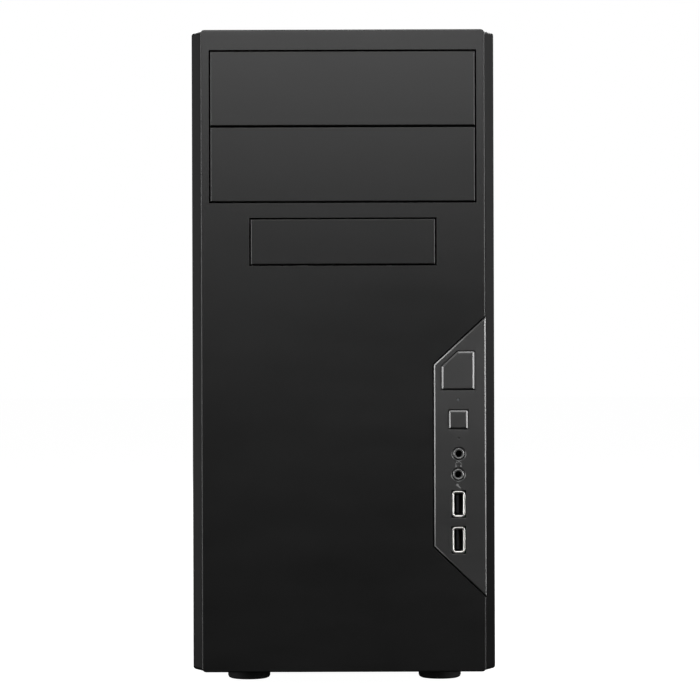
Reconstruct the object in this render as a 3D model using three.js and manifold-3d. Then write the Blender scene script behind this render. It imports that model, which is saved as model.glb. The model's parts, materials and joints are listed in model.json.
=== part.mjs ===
// A desktop computer tower for a micro-ATX motherboard: a folded steel chassis with two sliding side
// panels, a moulded front bezel with two 5.25 inch and one 3.5 inch bay covers, a front connection
// panel with buttons and sockets, and the electronics that the case holds.
// Millimetres. +X is to the right seen from the front, +Y runs to the back, +Z is up, and the origin
// is on the floor under the middle of the case.
import * as THREE from 'three';
import { mergeVertices } from 'three/addons/utils/BufferGeometryUtils.js';
import Module from 'manifold-3d';

const wasm = await Module();
wasm.setup();

// ---- driving dimensions ----
const WIDTH = 170;
const DEPTH = 360;
const HEIGHT = 366;
const FOOT_HEIGHT = 8;
const SHEET = 1; // folded steel sheet
const WALL = 2.4; // moulded plastic wall
const GAP = 0.3; // clearance between neighbours
const GROOVE = 0.7; // visible joint between front mouldings
const BUTTON_PROUD = 1; // buttons stand out of the front face
const BAY_PITCH = 42.3; // height of one 5.25 inch bay
const SLOT_PITCH = 20.32; // spacing of expansion slots
const LAP = 0.2; // how far fused shapes run into each other

// ---- places worked out from them ----
const SIDE = WIDTH / 2;
const FRONT = -DEPTH / 2;
const FACE = FRONT + BUTTON_PROUD;
const REAR = DEPTH / 2;
const SLAB_DEPTH = 6.5; // the raised front slab
const STRIP_DEPTH = 16; // where the chamfered side strips end
const BEZEL_BACK = FACE + 32;
const FRAME_FRONT = BEZEL_BACK + GAP + 0.1; // the steel front frame
const INNER_FRONT = FRAME_FRONT + SHEET + GAP;
const REAR_WALL = REAR - 9;
const INNER_REAR = REAR_WALL - GAP;
const BASE = FOOT_HEIGHT;
const MIDDLE = (BASE + HEIGHT) / 2;
const INNER_BOTTOM = BASE + SHEET + GAP;
const INNER_TOP = HEIGHT - SHEET - GAP;
const INNER_SIDE = SIDE - SHEET; // inside face of a side panel
const PLATE = [73.7, 74.7]; // the tray and the bay cage, as distances from the middle plane
const SIDES = { left: -1, right: 1 };

// ---- shape helpers: each gives a closed solid ----
const MERGE_DISTANCE = 1e-4;

function toSolid(geometry) {
  const bare = geometry.clone();
  bare.deleteAttribute('normal');
  bare.deleteAttribute('uv');
  const merged = mergeVertices(bare, MERGE_DISTANCE);
  const mesh = new wasm.Mesh({
    numProp: 3,
    vertProperties: new Float32Array(merged.attributes.position.array),
    triVerts: new Uint32Array(merged.index.array),
  });
  return new wasm.Manifold(mesh);
}

function block([x0, x1], [y0, y1], [z0, z1]) {
  const geometry = new THREE.BoxGeometry(x1 - x0, y1 - y0, z1 - z0);
  return toSolid(geometry.translate((x0 + x1) / 2, (y0 + y1) / 2, (z0 + z1) / 2));
}

const X = new THREE.Vector3(1, 0, 0);
const Y = new THREE.Vector3(0, 1, 0);
const Z = new THREE.Vector3(0, 0, 1);

// Pushes a flat outline along an axis: (y, z) points along x, (x, z) along y, (x, y) along z.
function prism(axis, outline, from, to) {
  const shape = new THREE.Shape(outline.map(([u, v]) => new THREE.Vector2(u, v)));
  const geometry = new THREE.ExtrudeGeometry(shape, { depth: to - from, bevelEnabled: false });
  if (axis === 'z') {
    geometry.translate(0, 0, from);
  } else if (axis === 'x') {
    geometry.translate(0, 0, from);
    geometry.applyMatrix4(new THREE.Matrix4().makeBasis(Y, Z, X));
  } else {
    geometry.translate(0, 0, -to);
    geometry.applyMatrix4(new THREE.Matrix4().makeBasis(X, Z, Y.clone().negate()));
  }
  return toSolid(geometry);
}

function circle(u, v, radius, sides = 24) {
  const turn = (2 * Math.PI) / sides;
  return Array.from({ length: sides }, (_, i) => [
    u + radius * Math.cos((i + 0.5) * turn),
    v + radius * Math.sin((i + 0.5) * turn),
  ]);
}

function disc(axis, [u, v], radius, from, to, sides = 24) {
  return prism(axis, circle(u, v, radius, sides), from, to);
}

function rectangle([u0, u1], [v0, v1]) {
  return [[u0, v0], [u1, v0], [u1, v1], [u0, v1]];
}

// Moves every edge of an anticlockwise convex outline outwards.
function grow(outline, distance) {
  const edges = outline.map(([u, v], i) => {
    const [nextU, nextV] = outline[(i + 1) % outline.length];
    const length = Math.hypot(nextU - u, nextV - v);
    const du = (nextU - u) / length;
    const dv = (nextV - v) / length;
    return { u: u + dv * distance, v: v - du * distance, du, dv };
  });
  return edges.map((edge, i) => {
    const before = edges.at(i - 1);
    const turn = before.du * edge.dv - before.dv * edge.du;
    const along = ((edge.u - before.u) * edge.dv - (edge.v - before.v) * edge.du) / turn;
    return [before.u + before.du * along, before.v + before.dv * along];
  });
}

// Turns a profile of (radius, height) points about the Z axis; it starts and ends on the axis or closes.
function turned(profile, sides = 24) {
  const points = profile.map(([radius, height]) => new THREE.Vector2(radius, height));
  const geometry = new THREE.LatheGeometry(points, sides);
  return toSolid(geometry.rotateX(Math.PI / 2));
}

function ring(inner, outer, from, to, sides = 24) {
  return turned([[inner, from], [outer, from], [outer, to], [inner, to], [inner, from]], sides);
}

function tube(route, radius, sides, steps) {
  const curve = new THREE.CatmullRomCurve3(route.map((point) => new THREE.Vector3(...point)));
  const section = new THREE.Shape(circle(0, 0, radius, sides).map(([u, v]) => new THREE.Vector2(u, v)));
  return toSolid(new THREE.ExtrudeGeometry(section, { steps, extrudePath: curve, bevelEnabled: false }));
}

function join(...solids) {
  return solids.flat(2).reduce((sum, solid) => sum.add(solid));
}

function cut(solid, ...holes) {
  return holes.flat(2).reduce((rest, hole) => rest.subtract(hole), solid);
}

function range(count) {
  return Array.from({ length: count }, (_, i) => i);
}

function around(centre, half) {
  return [centre - half, centre + half];
}

// A span measured outwards from the middle plane, on the left (-1) or the right (+1).
function outward(side, [from, to]) {
  return side > 0 ? [from, to] : [-to, -from];
}

// The same height measured down from the top of the case instead of up from its base.
function flipped([from, to]) {
  return [2 * MIDDLE - to, 2 * MIDDLE - from];
}

// ---- finishes ----
const FINISHES = {
  satinBlackPlastic: { color: 0x232323, roughness: 0.42, metalness: 0 },
  mattBlackPlastic: { color: 0x1b1b1b, roughness: 0.6, metalness: 0 },
  blackSteel: { color: 0x1a1a1b, roughness: 0.5, metalness: 0.2 },
  bareSteel: { color: 0xa9abad, roughness: 0.42, metalness: 0.9 },
  brightSteel: { color: 0xc9cbcc, roughness: 0.25, metalness: 1 },
  aluminium: { color: 0xb9bcc0, roughness: 0.35, metalness: 0.9 },
  circuitBoard: { color: 0x14432c, roughness: 0.5, metalness: 0 },
  rubber: { color: 0x161616, roughness: 0.85, metalness: 0 },
  clearPlastic: { color: 0xd8e0e6, roughness: 0.15, metalness: 0 },
  cableSleeve: { color: 0x1c1c1c, roughness: 0.75, metalness: 0 },
  redCable: { color: 0x8c1b16, roughness: 0.5, metalness: 0 },
};

const tower = new THREE.Group();

function addPart(name, solid, finish, place = [0, 0, 0], turn = [0, 0, 0]) {
  const { vertProperties, triVerts } = solid.getMesh();
  const geometry = new THREE.BufferGeometry();
  geometry.setAttribute('position', new THREE.BufferAttribute(vertProperties, 3));
  geometry.setIndex(new THREE.BufferAttribute(triVerts, 1));
  geometry.computeVertexNormals();
  const mesh = new THREE.Mesh(geometry, new THREE.MeshStandardMaterial(FINISHES[finish]));
  mesh.name = name;
  mesh.position.set(...place);
  mesh.rotation.set(...turn);
  tower.add(mesh);
}

// ---- chassis: base, top, front frame, rear panel ----
const RAIL = { flange: [75, 76], shelf: [75, 81], lip: [80, 81], height: 15, lipDrop: 7 };
const SHEET_EDGE = SIDE - 2;
const BAY_DEPTH_SPAN = [INNER_FRONT, INNER_REAR];
const FEET = { x: 54.6, y: { front: -135, rear: 140 } };
const FOOT = { radius: 12.3, foot: 10.8, top: BASE - GAP, neck: 3, barb: 4.2, hole: 3.5 };

// Half of a C-shaped guide rail that a side panel's lip runs in, for one side of the base.
function guideRail(side, height) {
  const top = BASE + RAIL.height;
  return [
    block(outward(side, RAIL.flange), BAY_DEPTH_SPAN, height([BASE, top])),
    block(outward(side, RAIL.shelf), BAY_DEPTH_SPAN, height([top - SHEET, top])),
    block(outward(side, RAIL.lip), BAY_DEPTH_SPAN, height([top - RAIL.lipDrop, top])),
  ];
}

function railedSheet(height) {
  const sheet = block([-SHEET_EDGE, SHEET_EDGE], BAY_DEPTH_SPAN, height([BASE, BASE + SHEET]));
  return join(sheet, Object.values(SIDES).map((side) => guideRail(side, height)));
}

const throughBase = [BASE - SHEET, BASE + 2 * SHEET];
const footHoles = Object.values(SIDES).flatMap((side) =>
  Object.values(FEET.y).map((y) => disc('z', [side * FEET.x, y], FOOT.hole, ...throughBase, 12)));
addPart('base_panel', cut(railedSheet((span) => span), footHoles), 'bareSteel');
addPart('top_panel', railedSheet(flipped), 'blackSteel');

const footBarb = BASE + SHEET + GAP;
const footShape = turned([
  [0, 0], [FOOT.foot, 0], [FOOT.radius, 1.6], [FOOT.radius, FOOT.top], [FOOT.neck, FOOT.top],
  [FOOT.neck, footBarb], [FOOT.barb, footBarb], [FOOT.neck - 1, footBarb + 3], [0, footBarb + 3],
], 14);
for (const [sideName, side] of Object.entries(SIDES)) {
  for (const [endName, y] of Object.entries(FEET.y)) {
    addPart(`foot_${endName}_${sideName}`, footShape, 'rubber', [side * FEET.x, y, 0]);
  }
}

const BAYS_525 = { x: [-74.5, 74.5], z: [269.35, 354.65] };
const BAY_35 = { x: [-52.15, 52.15], z: [234.35, 261.15] };
const FRAME_CLEARANCE = 0.6;
const CLIP = { x: [-36, 36], half: 5, z: [13.4, 16], barb: 12.4, root: BASE + WALL - LAP, reach: 4 };
const CABLE_WINDOW = { x: [58, 72], z: [85, 125] };
const FRAME_SPAN = [FRAME_FRONT, FRAME_FRONT + SHEET];
const THROUGH_FRAME = [FRAME_FRONT - SHEET, FRAME_FRONT + 2 * SHEET];

function widened([from, to], by) {
  return [from - by, to + by];
}

const FRAME_EDGE = SIDE - 2.4;
const INTAKE = { count: 6, x: [-45, 45], bottom: 34, pitch: 12, height: 6 };
const intakeSlots = range(INTAKE.count).map((i) => {
  const bottom = INTAKE.bottom + i * INTAKE.pitch;
  return block(INTAKE.x, THROUGH_FRAME, [bottom, bottom + INTAKE.height]);
});
const CLIP_ROOM = 0.8;
const clipHoles = [(span) => span, flipped].flatMap((height) =>
  CLIP.x.map((x) => block(
    around(x, CLIP.half + CLIP_ROOM),
    THROUGH_FRAME,
    height([CLIP.barb - CLIP_ROOM, CLIP.z[1] + CLIP_ROOM]),
  )));
const FRAME_FLANGE = { depth: 8, z: [26, 348] };
const frameFlanges = Object.values(SIDES).map((side) => block(
  outward(side, [FRAME_EDGE - SHEET, FRAME_EDGE]),
  [FRAME_FRONT, FRAME_FRONT + FRAME_FLANGE.depth],
  FRAME_FLANGE.z,
));
addPart('front_frame', cut(
  join(block([-FRAME_EDGE, FRAME_EDGE], FRAME_SPAN, [INNER_BOTTOM, INNER_TOP]), frameFlanges),
  block(widened(BAYS_525.x, FRAME_CLEARANCE), THROUGH_FRAME, widened(BAYS_525.z, FRAME_CLEARANCE)),
  block(widened(BAY_35.x, FRAME_CLEARANCE), THROUGH_FRAME, widened(BAY_35.z, FRAME_CLEARANCE)),
  block(CABLE_WINDOW.x, THROUGH_FRAME, CABLE_WINDOW.z),
  intakeSlots,
  clipHoles,
), 'bareSteel');

const REAR_SPAN = [REAR_WALL, REAR_WALL + SHEET];
const THROUGH_REAR = [REAR_WALL - 2 * SHEET, REAR_WALL + 2 * SHEET];
const REAR_EDGE = SIDE - 2.4;
const PSU_WINDOW = { x: [-71, 71], z: [276, 350] };
const PORT_WINDOW = { x: [25, 69.5], z: [100.6, 259.4] };
const REAR_FAN = { x: -25, z: 205, size: 92, depth: 25 };
const VENT = { slots: 7, pitch: 10.8, height: 6, radius: 42, spine: 3 };
const SLOTS = { count: 4, first: 28, window: [-59.2, 58], half: 6.5, ledge: 8, slit: 1.5 };
const SCREWS = { x: 78, z: { lower: 60, upper: 300 }, hole: 2.3, shank: 1.8, head: 6 };
const CORNER_NOTCH = { x: 76.4, height: 22 };

// Vent slots across a circle, each as long as the circle is wide there, with a solid spine down the middle.
function ventSlots(centreX, centreZ) {
  return range(VENT.slots).flatMap((i) => {
    const offset = (i - (VENT.slots - 1) / 2) * VENT.pitch;
    const reach = Math.sqrt(VENT.radius ** 2 - (Math.abs(offset) + VENT.height / 2) ** 2);
    return Object.values(SIDES).map((side) => {
      const [from, to] = outward(side, [VENT.spine / 2, reach]);
      return block([centreX + from, centreX + to], THROUGH_REAR, around(centreZ + offset, VENT.height / 2));
    });
  });
}

const slotCentres = range(SLOTS.count).map((i) => SLOTS.first + i * SLOT_PITCH);
const slotSpan = [slotCentres[0] - SLOT_PITCH / 2, slotCentres.at(-1) + SLOT_PITCH / 2];
const ledgeX = SLOTS.window[0];
const rearNotches = Object.values(SIDES).flatMap((side) =>
  [[0, CORNER_NOTCH.height], [2 * MIDDLE - CORNER_NOTCH.height, HEIGHT]].map((z) =>
    block(outward(side, [CORNER_NOTCH.x, SIDE]), THROUGH_REAR, z)));
const screwPlaces = Object.values(SIDES).flatMap((side) =>
  Object.values(SCREWS.z).map((z) => [side * SCREWS.x, z]));
addPart('rear_panel', cut(
  join(
    block([-REAR_EDGE, REAR_EDGE], REAR_SPAN, [INNER_BOTTOM, INNER_TOP]),
    block([ledgeX - SHEET, ledgeX], [REAR_WALL, REAR_WALL + SLOTS.ledge], slotSpan),
  ),
  block(PSU_WINDOW.x, THROUGH_REAR, PSU_WINDOW.z),
  block(PORT_WINDOW.x, THROUGH_REAR, PORT_WINDOW.z),
  ventSlots(REAR_FAN.x, REAR_FAN.z),
  slotCentres.map((z) => block(SLOTS.window, THROUGH_REAR, around(z, SLOTS.half))),
  block([ledgeX - SHEET - SLOTS.slit, ledgeX - SHEET], THROUGH_REAR, slotSpan),
  rearNotches,
  screwPlaces.map((place) => disc('y', place, SCREWS.hole, ...THROUGH_REAR, 10)),
), 'bareSteel');

// Blanking brackets: a blade inside the rear panel, and a tab bent out over the ledge and screwed there.
const BRACKET = { half: 9, end: 61, tab: REAR_WALL + 7.6, screw: 3.2 };
slotCentres.forEach((z, i) => {
  const tab = [ledgeX - SHEET - GAP - SHEET, ledgeX - SHEET - GAP];
  const bladeY = [INNER_REAR - SHEET, INNER_REAR];
  addPart(`slot_cover_${i + 1}`, join(
    block([tab[0], BRACKET.end], bladeY, around(z, BRACKET.half)),
    block(tab, [bladeY[0], BRACKET.tab], around(z, BRACKET.half)),
    disc('x', [REAR_WALL + 4.2, z + 4], BRACKET.screw, tab[0] - 2, tab[0] + LAP, 12),
  ), 'bareSteel');
});

// ---- motherboard tray and drive bays ----
const BOARD = { x: [66, 67.6], y: [-31, 168], z: [17, 261] };
const BAY_CAGE = { y: [INNER_FRONT, 5], bottom: 267.3 };
const TRAY_TOP = { front: BAY_CAGE.bottom - GAP, rear: 269.4, step: BAY_CAGE.y[1] + 3 };
const STANDOFFS = { radius: 2.8, y: [-25, 40, 132, 162], z: [24, 140, 255] };
const standoffs = STANDOFFS.y.flatMap((y) => STANDOFFS.z.map((z) =>
  disc('x', [y, z], STANDOFFS.radius, BOARD.x[1] + GAP, PLATE[0] + LAP, 8)));
const trayOutline = [
  [INNER_FRONT, INNER_BOTTOM], [INNER_REAR, INNER_BOTTOM], [INNER_REAR, TRAY_TOP.rear],
  [TRAY_TOP.step, TRAY_TOP.rear], [TRAY_TOP.step, TRAY_TOP.front], [INNER_FRONT, TRAY_TOP.front],
];
const TRAY_FLANGE = { x: [64, PLATE[1]], y: [40, INNER_REAR] };
addPart('motherboard_tray', join(
  prism('x', trayOutline, ...PLATE),
  block(TRAY_FLANGE.x, TRAY_FLANGE.y, [TRAY_TOP.rear - SHEET, TRAY_TOP.rear]),
  standoffs,
), 'bareSteel');

const BAY_SCREW_SLOTS = { y: [-110, -30], half: 18, heights: [12, 26] };
const bayFloor = BAYS_525.z[0] + GROOVE / 2;
const cageSlots = [0, BAY_PITCH].flatMap((up) => BAY_SCREW_SLOTS.y.flatMap((y) =>
  BAY_SCREW_SLOTS.heights.map((h) =>
    block([-SIDE, SIDE], around(y, BAY_SCREW_SLOTS.half), around(bayFloor + up + h, 1.8)))));
const cageWalls = Object.values(SIDES).map((side) =>
  block(outward(side, PLATE), BAY_CAGE.y, [BAY_CAGE.bottom, INNER_TOP]));
addPart('bay_cage', cut(
  join(cageWalls, block([-PLATE[1], PLATE[1]], BAY_CAGE.y, [BAY_CAGE.bottom, BAY_CAGE.bottom + SHEET])),
  cageSlots,
), 'bareSteel');

const DRIVE_CAGE = { wall: [51.3, 52.3], y: [INNER_FRONT, -34], z: [110, BAY_CAGE.bottom - GAP] };
const DRIVE = { x: [-50.8, 50.8], y: [-142, 5], z: [140, 166.1] };
const LEDGE_RAIL = [48.5, DRIVE_CAGE.wall[0] + LAP];
const DRIVE_LEDGES = [DRIVE.z[0] - GAP, DRIVE.z[0] + 32, BAY_35.z[0]];
const ledgeRails = Object.values(SIDES).flatMap((side) => DRIVE_LEDGES.map((top) => block(
  outward(side, LEDGE_RAIL),
  [DRIVE_CAGE.y[0] + 4, DRIVE_CAGE.y[1] - 6],
  [top - SHEET, top],
)));
const driveWalls = Object.values(SIDES).map((side) =>
  block(outward(side, DRIVE_CAGE.wall), DRIVE_CAGE.y, DRIVE_CAGE.z));
const driveFloor = [-DRIVE_CAGE.wall[1], DRIVE_CAGE.wall[1]];
addPart('drive_cage', join(
  driveWalls,
  ledgeRails,
  block(driveFloor, DRIVE_CAGE.y, [DRIVE_CAGE.z[0], DRIVE_CAGE.z[0] + SHEET]),
  block(driveFloor, [DRIVE_CAGE.y[1] - 20, DRIVE_CAGE.y[1]], [DRIVE_CAGE.z[1] - SHEET, DRIVE_CAGE.z[1]]),
), 'bareSteel');
const DRIVE_BASE = { height: 3, inset: 2, y: [-130, -10] };
const driveBase = DRIVE.z[0] + DRIVE_BASE.height;
addPart('hard_drive', join(
  block(DRIVE.x, DRIVE.y, [driveBase, DRIVE.z[1]]),
  block(widened(DRIVE.x, -DRIVE_BASE.inset), DRIVE_BASE.y, [DRIVE.z[0], driveBase + LAP]),
), 'aluminium');

// ---- motherboard and what plugs into it ----
const COOLER = { y: 95, z: 200, radius: 44 };
const boardFace = BOARD.x[0];
const onBoard = (top, y, z) => block([top, boardFace + LAP], y, z);
const MEMORY = { y: [26, 36], z: [119.8, 253.2], slot: 58, edge: 60.5, height: 30, thick: 1.3 };
const LATCH = { top: 50, half: 3.3, length: [0.6, 6] };
const memorySlots = MEMORY.y.map((y) => cut(
  join(
    onBoard(MEMORY.slot, around(y, LATCH.half), widened(MEMORY.z, 2)),
    onBoard(LATCH.top, around(y, LATCH.half), LATCH.length.map((away) => MEMORY.z[1] + away)),
    onBoard(LATCH.top, around(y, LATCH.half), LATCH.length.map((away) => MEMORY.z[0] - away).reverse()),
  ),
  block([MEMORY.slot - SHEET, MEMORY.edge + 1], around(y, MEMORY.thick / 2 + GAP), widened(MEMORY.z, 0.5)),
));
const PORTS = {
  keyboard: { z: [241, 256], top: 34 },
  display: { z: [196, 235], top: 34 },
  network: { z: [172, 190], top: 37 },
  usb: { z: [150, 166], top: 50 },
  audio: { z: [114, 128], top: 32 },
};
const PORT_DEPTH = [150, REAR_WALL + 1.6];
const ports = Object.values(PORTS).map(({ z, top }) => onBoard(top, PORT_DEPTH, z));
const SOCKET = { half: 21, top: 62 };
const ATX_SOCKET = { y: [-28, -16], z: [198, 250], top: 54 };
const CPU_POWER_SOCKET = { y: [52, 62], z: [249, 259], top: 54 };
const DATA_SOCKET = { y: [-27, -13], z: [60, 90], top: 56 };
const PANEL_HEADER = { y: [-15, 5], z: [20, 25], top: 58 };
const BATTERY = { y: 48, z: 60, radius: 10, height: 3.2 };
const CHIPSET = { y: [-5, 33], z: [55, 93], top: 52, base: 62, fins: 6, fin: 1.6 };
const chipsetFins = range(CHIPSET.fins).map((i) => {
  const pitch = (CHIPSET.z[1] - CHIPSET.z[0] - CHIPSET.fin) / (CHIPSET.fins - 1);
  const z = CHIPSET.z[0] + i * pitch;
  return block([CHIPSET.top, CHIPSET.base + LAP], CHIPSET.y, [z, z + CHIPSET.fin]);
});
const CARD_SLOT = { top: 55, half: 3.7, below: 8, long: [60, 149], short: [124, 149] };
const cardSlots = [CARD_SLOT.long, CARD_SLOT.short, CARD_SLOT.short].map((y, i) =>
  onBoard(CARD_SLOT.top, y, around(slotCentres[3 - i] - CARD_SLOT.below, CARD_SLOT.half)));
addPart('motherboard', join(
  block(BOARD.x, BOARD.y, BOARD.z),
  memorySlots,
  ports,
  onBoard(SOCKET.top, around(COOLER.y, SOCKET.half), around(COOLER.z, SOCKET.half)),
  onBoard(ATX_SOCKET.top, ATX_SOCKET.y, ATX_SOCKET.z),
  onBoard(CPU_POWER_SOCKET.top, CPU_POWER_SOCKET.y, CPU_POWER_SOCKET.z),
  onBoard(DATA_SOCKET.top, DATA_SOCKET.y, DATA_SOCKET.z),
  onBoard(PANEL_HEADER.top, PANEL_HEADER.y, PANEL_HEADER.z),
  onBoard(CHIPSET.base, CHIPSET.y, CHIPSET.z),
  chipsetFins,
  cardSlots,
), 'circuitBoard');

const CHIP = { count: 8, x: [36, 50], proud: 1.1, first: 9, pitch: 15, length: 10 };
MEMORY.y.forEach((y, i) => {
  addPart(`memory_module_${i + 1}`, join(
    block([MEMORY.edge - MEMORY.height, MEMORY.edge], around(y, MEMORY.thick / 2), MEMORY.z),
    range(CHIP.count).map((chip) => {
      const z = MEMORY.z[0] + CHIP.first + chip * CHIP.pitch;
      return block(CHIP.x, [y - MEMORY.thick / 2 - CHIP.proud, y], [z, z + CHIP.length]);
    }),
  ), 'circuitBoard');
});
addPart('backup_battery', disc('x', [BATTERY.y, BATTERY.z], BATTERY.radius,
  boardFace - GAP - BATTERY.height, boardFace - GAP, 20), 'brightSteel');

const PROCESSOR = { half: 18.75, thick: 1.3, lid: 15, lidTop: 58.3 };
const roundCooler = (half) => [around(COOLER.y, half), around(COOLER.z, half)];
const processorFace = SOCKET.top - GAP - PROCESSOR.thick;
addPart('processor', join(
  block([processorFace, SOCKET.top - GAP], ...roundCooler(PROCESSOR.half)),
  block([PROCESSOR.lidTop, processorFace + LAP], ...roundCooler(PROCESSOR.lid)),
), 'aluminium');

// The cooler is built about its own axis, which points away from the board.
const ALONG_X = [0, -Math.PI / 2, 0];
const HEATSINK = { fins: 18, thick: 1.3, core: 16, height: 30, base: 4, flat: 19 };
const finShape = (i) => {
  const length = COOLER.radius - HEATSINK.core + 2;
  const fin = new THREE.BoxGeometry(length, HEATSINK.thick, HEATSINK.height - HEATSINK.base);
  fin.translate(COOLER.radius - length / 2, 0, (HEATSINK.height + HEATSINK.base) / 2);
  return toSolid(fin.rotateZ((i * 2 * Math.PI) / HEATSINK.fins));
};
const heatsinkFoot = PROCESSOR.lidTop - GAP;
addPart('cpu_heatsink', join(
  disc('z', [0, 0], HEATSINK.core, LAP, HEATSINK.height, 18),
  block([-HEATSINK.flat, HEATSINK.flat], [-HEATSINK.flat, HEATSINK.flat], [0, HEATSINK.base + LAP]),
  range(HEATSINK.fins).map(finShape),
), 'aluminium', [heatsinkFoot, COOLER.y, COOLER.z], ALONG_X);

// ---- fans ----
const STRUT = 5;
const MOTOR_PLATE = 3;
const ROTOR_CLEARANCE = 1;

function motorMount(reach, hub, count) {
  const strut = (i) => toSolid(new THREE.BoxGeometry(reach, STRUT, MOTOR_PLATE)
    .translate(reach / 2, 0, MOTOR_PLATE / 2)
    .rotateZ(((i + 0.5) * 2 * Math.PI) / count));
  return join(disc('z', [0, 0], hub, 0, MOTOR_PLATE, 16), range(count).map(strut));
}

function squareFanFrame(size, depth, hub) {
  const half = size / 2;
  const bore = half - 2;
  const chamfer = 5;
  const screwPlace = half - 5;
  const outline = [
    [-half + chamfer, -half], [half - chamfer, -half], [half, -half + chamfer], [half, half - chamfer],
    [half - chamfer, half], [-half + chamfer, half], [-half, half - chamfer], [-half, -half + chamfer],
  ];
  const corners = [-1, 1].flatMap((u) => [-1, 1].map((v) => [u * screwPlace, v * screwPlace]));
  const shell = cut(
    prism('z', outline, 0, depth),
    disc('z', [0, 0], bore, -1, depth + 1, 24),
    corners.map((place) => disc('z', place, 2.2, -1, depth + 1, 8)),
  );
  return join(shell, motorMount(bore + 1, hub, 4));
}

function fanRotor(hub, tip, depth, blades) {
  const pitch = 0.65;
  const thick = 1.6;
  const chord = (depth - 2 * ROTOR_CLEARANCE - thick) / Math.sin(pitch);
  const length = tip - hub + 2;
  const blade = (i) => {
    const shape = new THREE.BoxGeometry(length, chord, thick);
    shape.rotateX(pitch).translate(tip - length / 2, 0, depth / 2);
    return toSolid(shape.rotateZ((i * 2 * Math.PI) / blades));
  };
  const boss = disc('z', [0, 0], hub, ROTOR_CLEARANCE, depth - ROTOR_CLEARANCE, 16);
  return join(boss, range(blades).map(blade));
}

const FACING_FRONT = [Math.PI / 2, 0, 0];
const FACING_DOWN = [Math.PI, 0, 0];
const rearFanPlace = [REAR_FAN.x, INNER_REAR, REAR_FAN.z];
const REAR_HUB = 18;
const rotorStart = MOTOR_PLATE + GAP;
addPart('rear_fan_frame', squareFanFrame(REAR_FAN.size, REAR_FAN.depth, REAR_HUB), 'mattBlackPlastic',
  rearFanPlace, FACING_FRONT);
addPart('rear_fan_rotor', fanRotor(REAR_HUB, 40.5, REAR_FAN.depth - rotorStart, 7), 'mattBlackPlastic',
  [REAR_FAN.x, INNER_REAR - rotorStart, REAR_FAN.z], FACING_FRONT);

const CPU_FAN = { depth: 22, inner: 44, outer: 47, leg: 3.2, spacing: 37.5, hub: 17, tip: 41 };
const cpuFanBack = heatsinkFoot - HEATSINK.height - GAP;
const legLength = boardFace - GAP - cpuFanBack;
const cpuFanLegs = [-1, 1].flatMap((u) => [-1, 1].map((v) => {
  const centre = [u * CPU_FAN.spacing, v * CPU_FAN.spacing];
  const arm = new THREE.BoxGeometry(9, 6, 8).translate(50, 0, 4).rotateZ(Math.atan2(v, u));
  return join(toSolid(arm), disc('z', centre, CPU_FAN.leg, -legLength, 8, 8));
}));
addPart('cpu_fan_frame', join(
  ring(CPU_FAN.inner, CPU_FAN.outer, 0, CPU_FAN.depth, 24),
  motorMount(CPU_FAN.inner + 1, CPU_FAN.hub, 4),
  cpuFanLegs,
), 'mattBlackPlastic', [cpuFanBack, COOLER.y, COOLER.z], ALONG_X);
const cpuRotor = fanRotor(CPU_FAN.hub, CPU_FAN.tip, CPU_FAN.depth - rotorStart, 7);
addPart('cpu_fan_rotor', cpuRotor, 'mattBlackPlastic',
  [cpuFanBack - rotorStart, COOLER.y, COOLER.z], ALONG_X);

// ---- power supply ----
const PSU = { x: [-75, 75], y: [30.7, INNER_REAR], z: [270, 356] };
const PSU_FAN = { y: 101, size: 120, depth: 25, hub: 21, tip: 54.5 };
const INLET = { x: [-64, -34], z: [318, 342], well: 3, depth: 20 };
const SWITCH = { x: [-28, -12], z: [318, 342], well: 1.5, depth: 14 };
const INLET_PLATE = { x: [-67, -9], z: [315, 345] };
const psuRearWall = [PSU.y[1] - SHEET, PSU.y[1]];
const psuFrontWall = [PSU.y[0], PSU.y[0] + SHEET];
const psuCableHole = { x: [38, 62], z: [276, 292] };
const PSU_VENT = { count: 8, x: [-2, 66], first: 282, pitch: 8, height: 4 };
const psuVents = range(PSU_VENT.count).map((i) => {
  const bottom = PSU_VENT.first + i * PSU_VENT.pitch;
  return block(PSU_VENT.x, widened(psuRearWall, 1), [bottom, bottom + PSU_VENT.height]);
});
addPart('psu_case', cut(
  join(
    block(PSU.x, PSU.y, [PSU.z[0], PSU.z[0] + SHEET]),
    block(PSU.x, psuRearWall, [PSU.z[0], PSU.z[1] - SHEET - GAP]),
    block(PSU.x, psuFrontWall, [PSU.z[0], PSU.z[1] - SHEET - GAP]),
  ),
  disc('z', [0, PSU_FAN.y], PSU_FAN.size / 2 - 3, PSU.z[0] - 1, PSU.z[0] + 2, 32),
  block(psuCableHole.x, widened(psuFrontWall, 1), psuCableHole.z),
  block(INLET.x, widened(psuRearWall, 1), INLET.z),
  block(SWITCH.x, widened(psuRearWall, 1), SWITCH.z),
  psuVents,
), 'bareSteel');
addPart('psu_cover', join(
  block(PSU.x, PSU.y, [PSU.z[1] - SHEET, PSU.z[1]]),
  Object.values(SIDES).map((side) => block(
    outward(side, [PSU.x[1] - SHEET, PSU.x[1]]),
    [psuFrontWall[1] + GAP, psuRearWall[0] - GAP],
    [PSU.z[0] + SHEET + GAP, PSU.z[1] - LAP],
  )),
), 'bareSteel');

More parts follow.
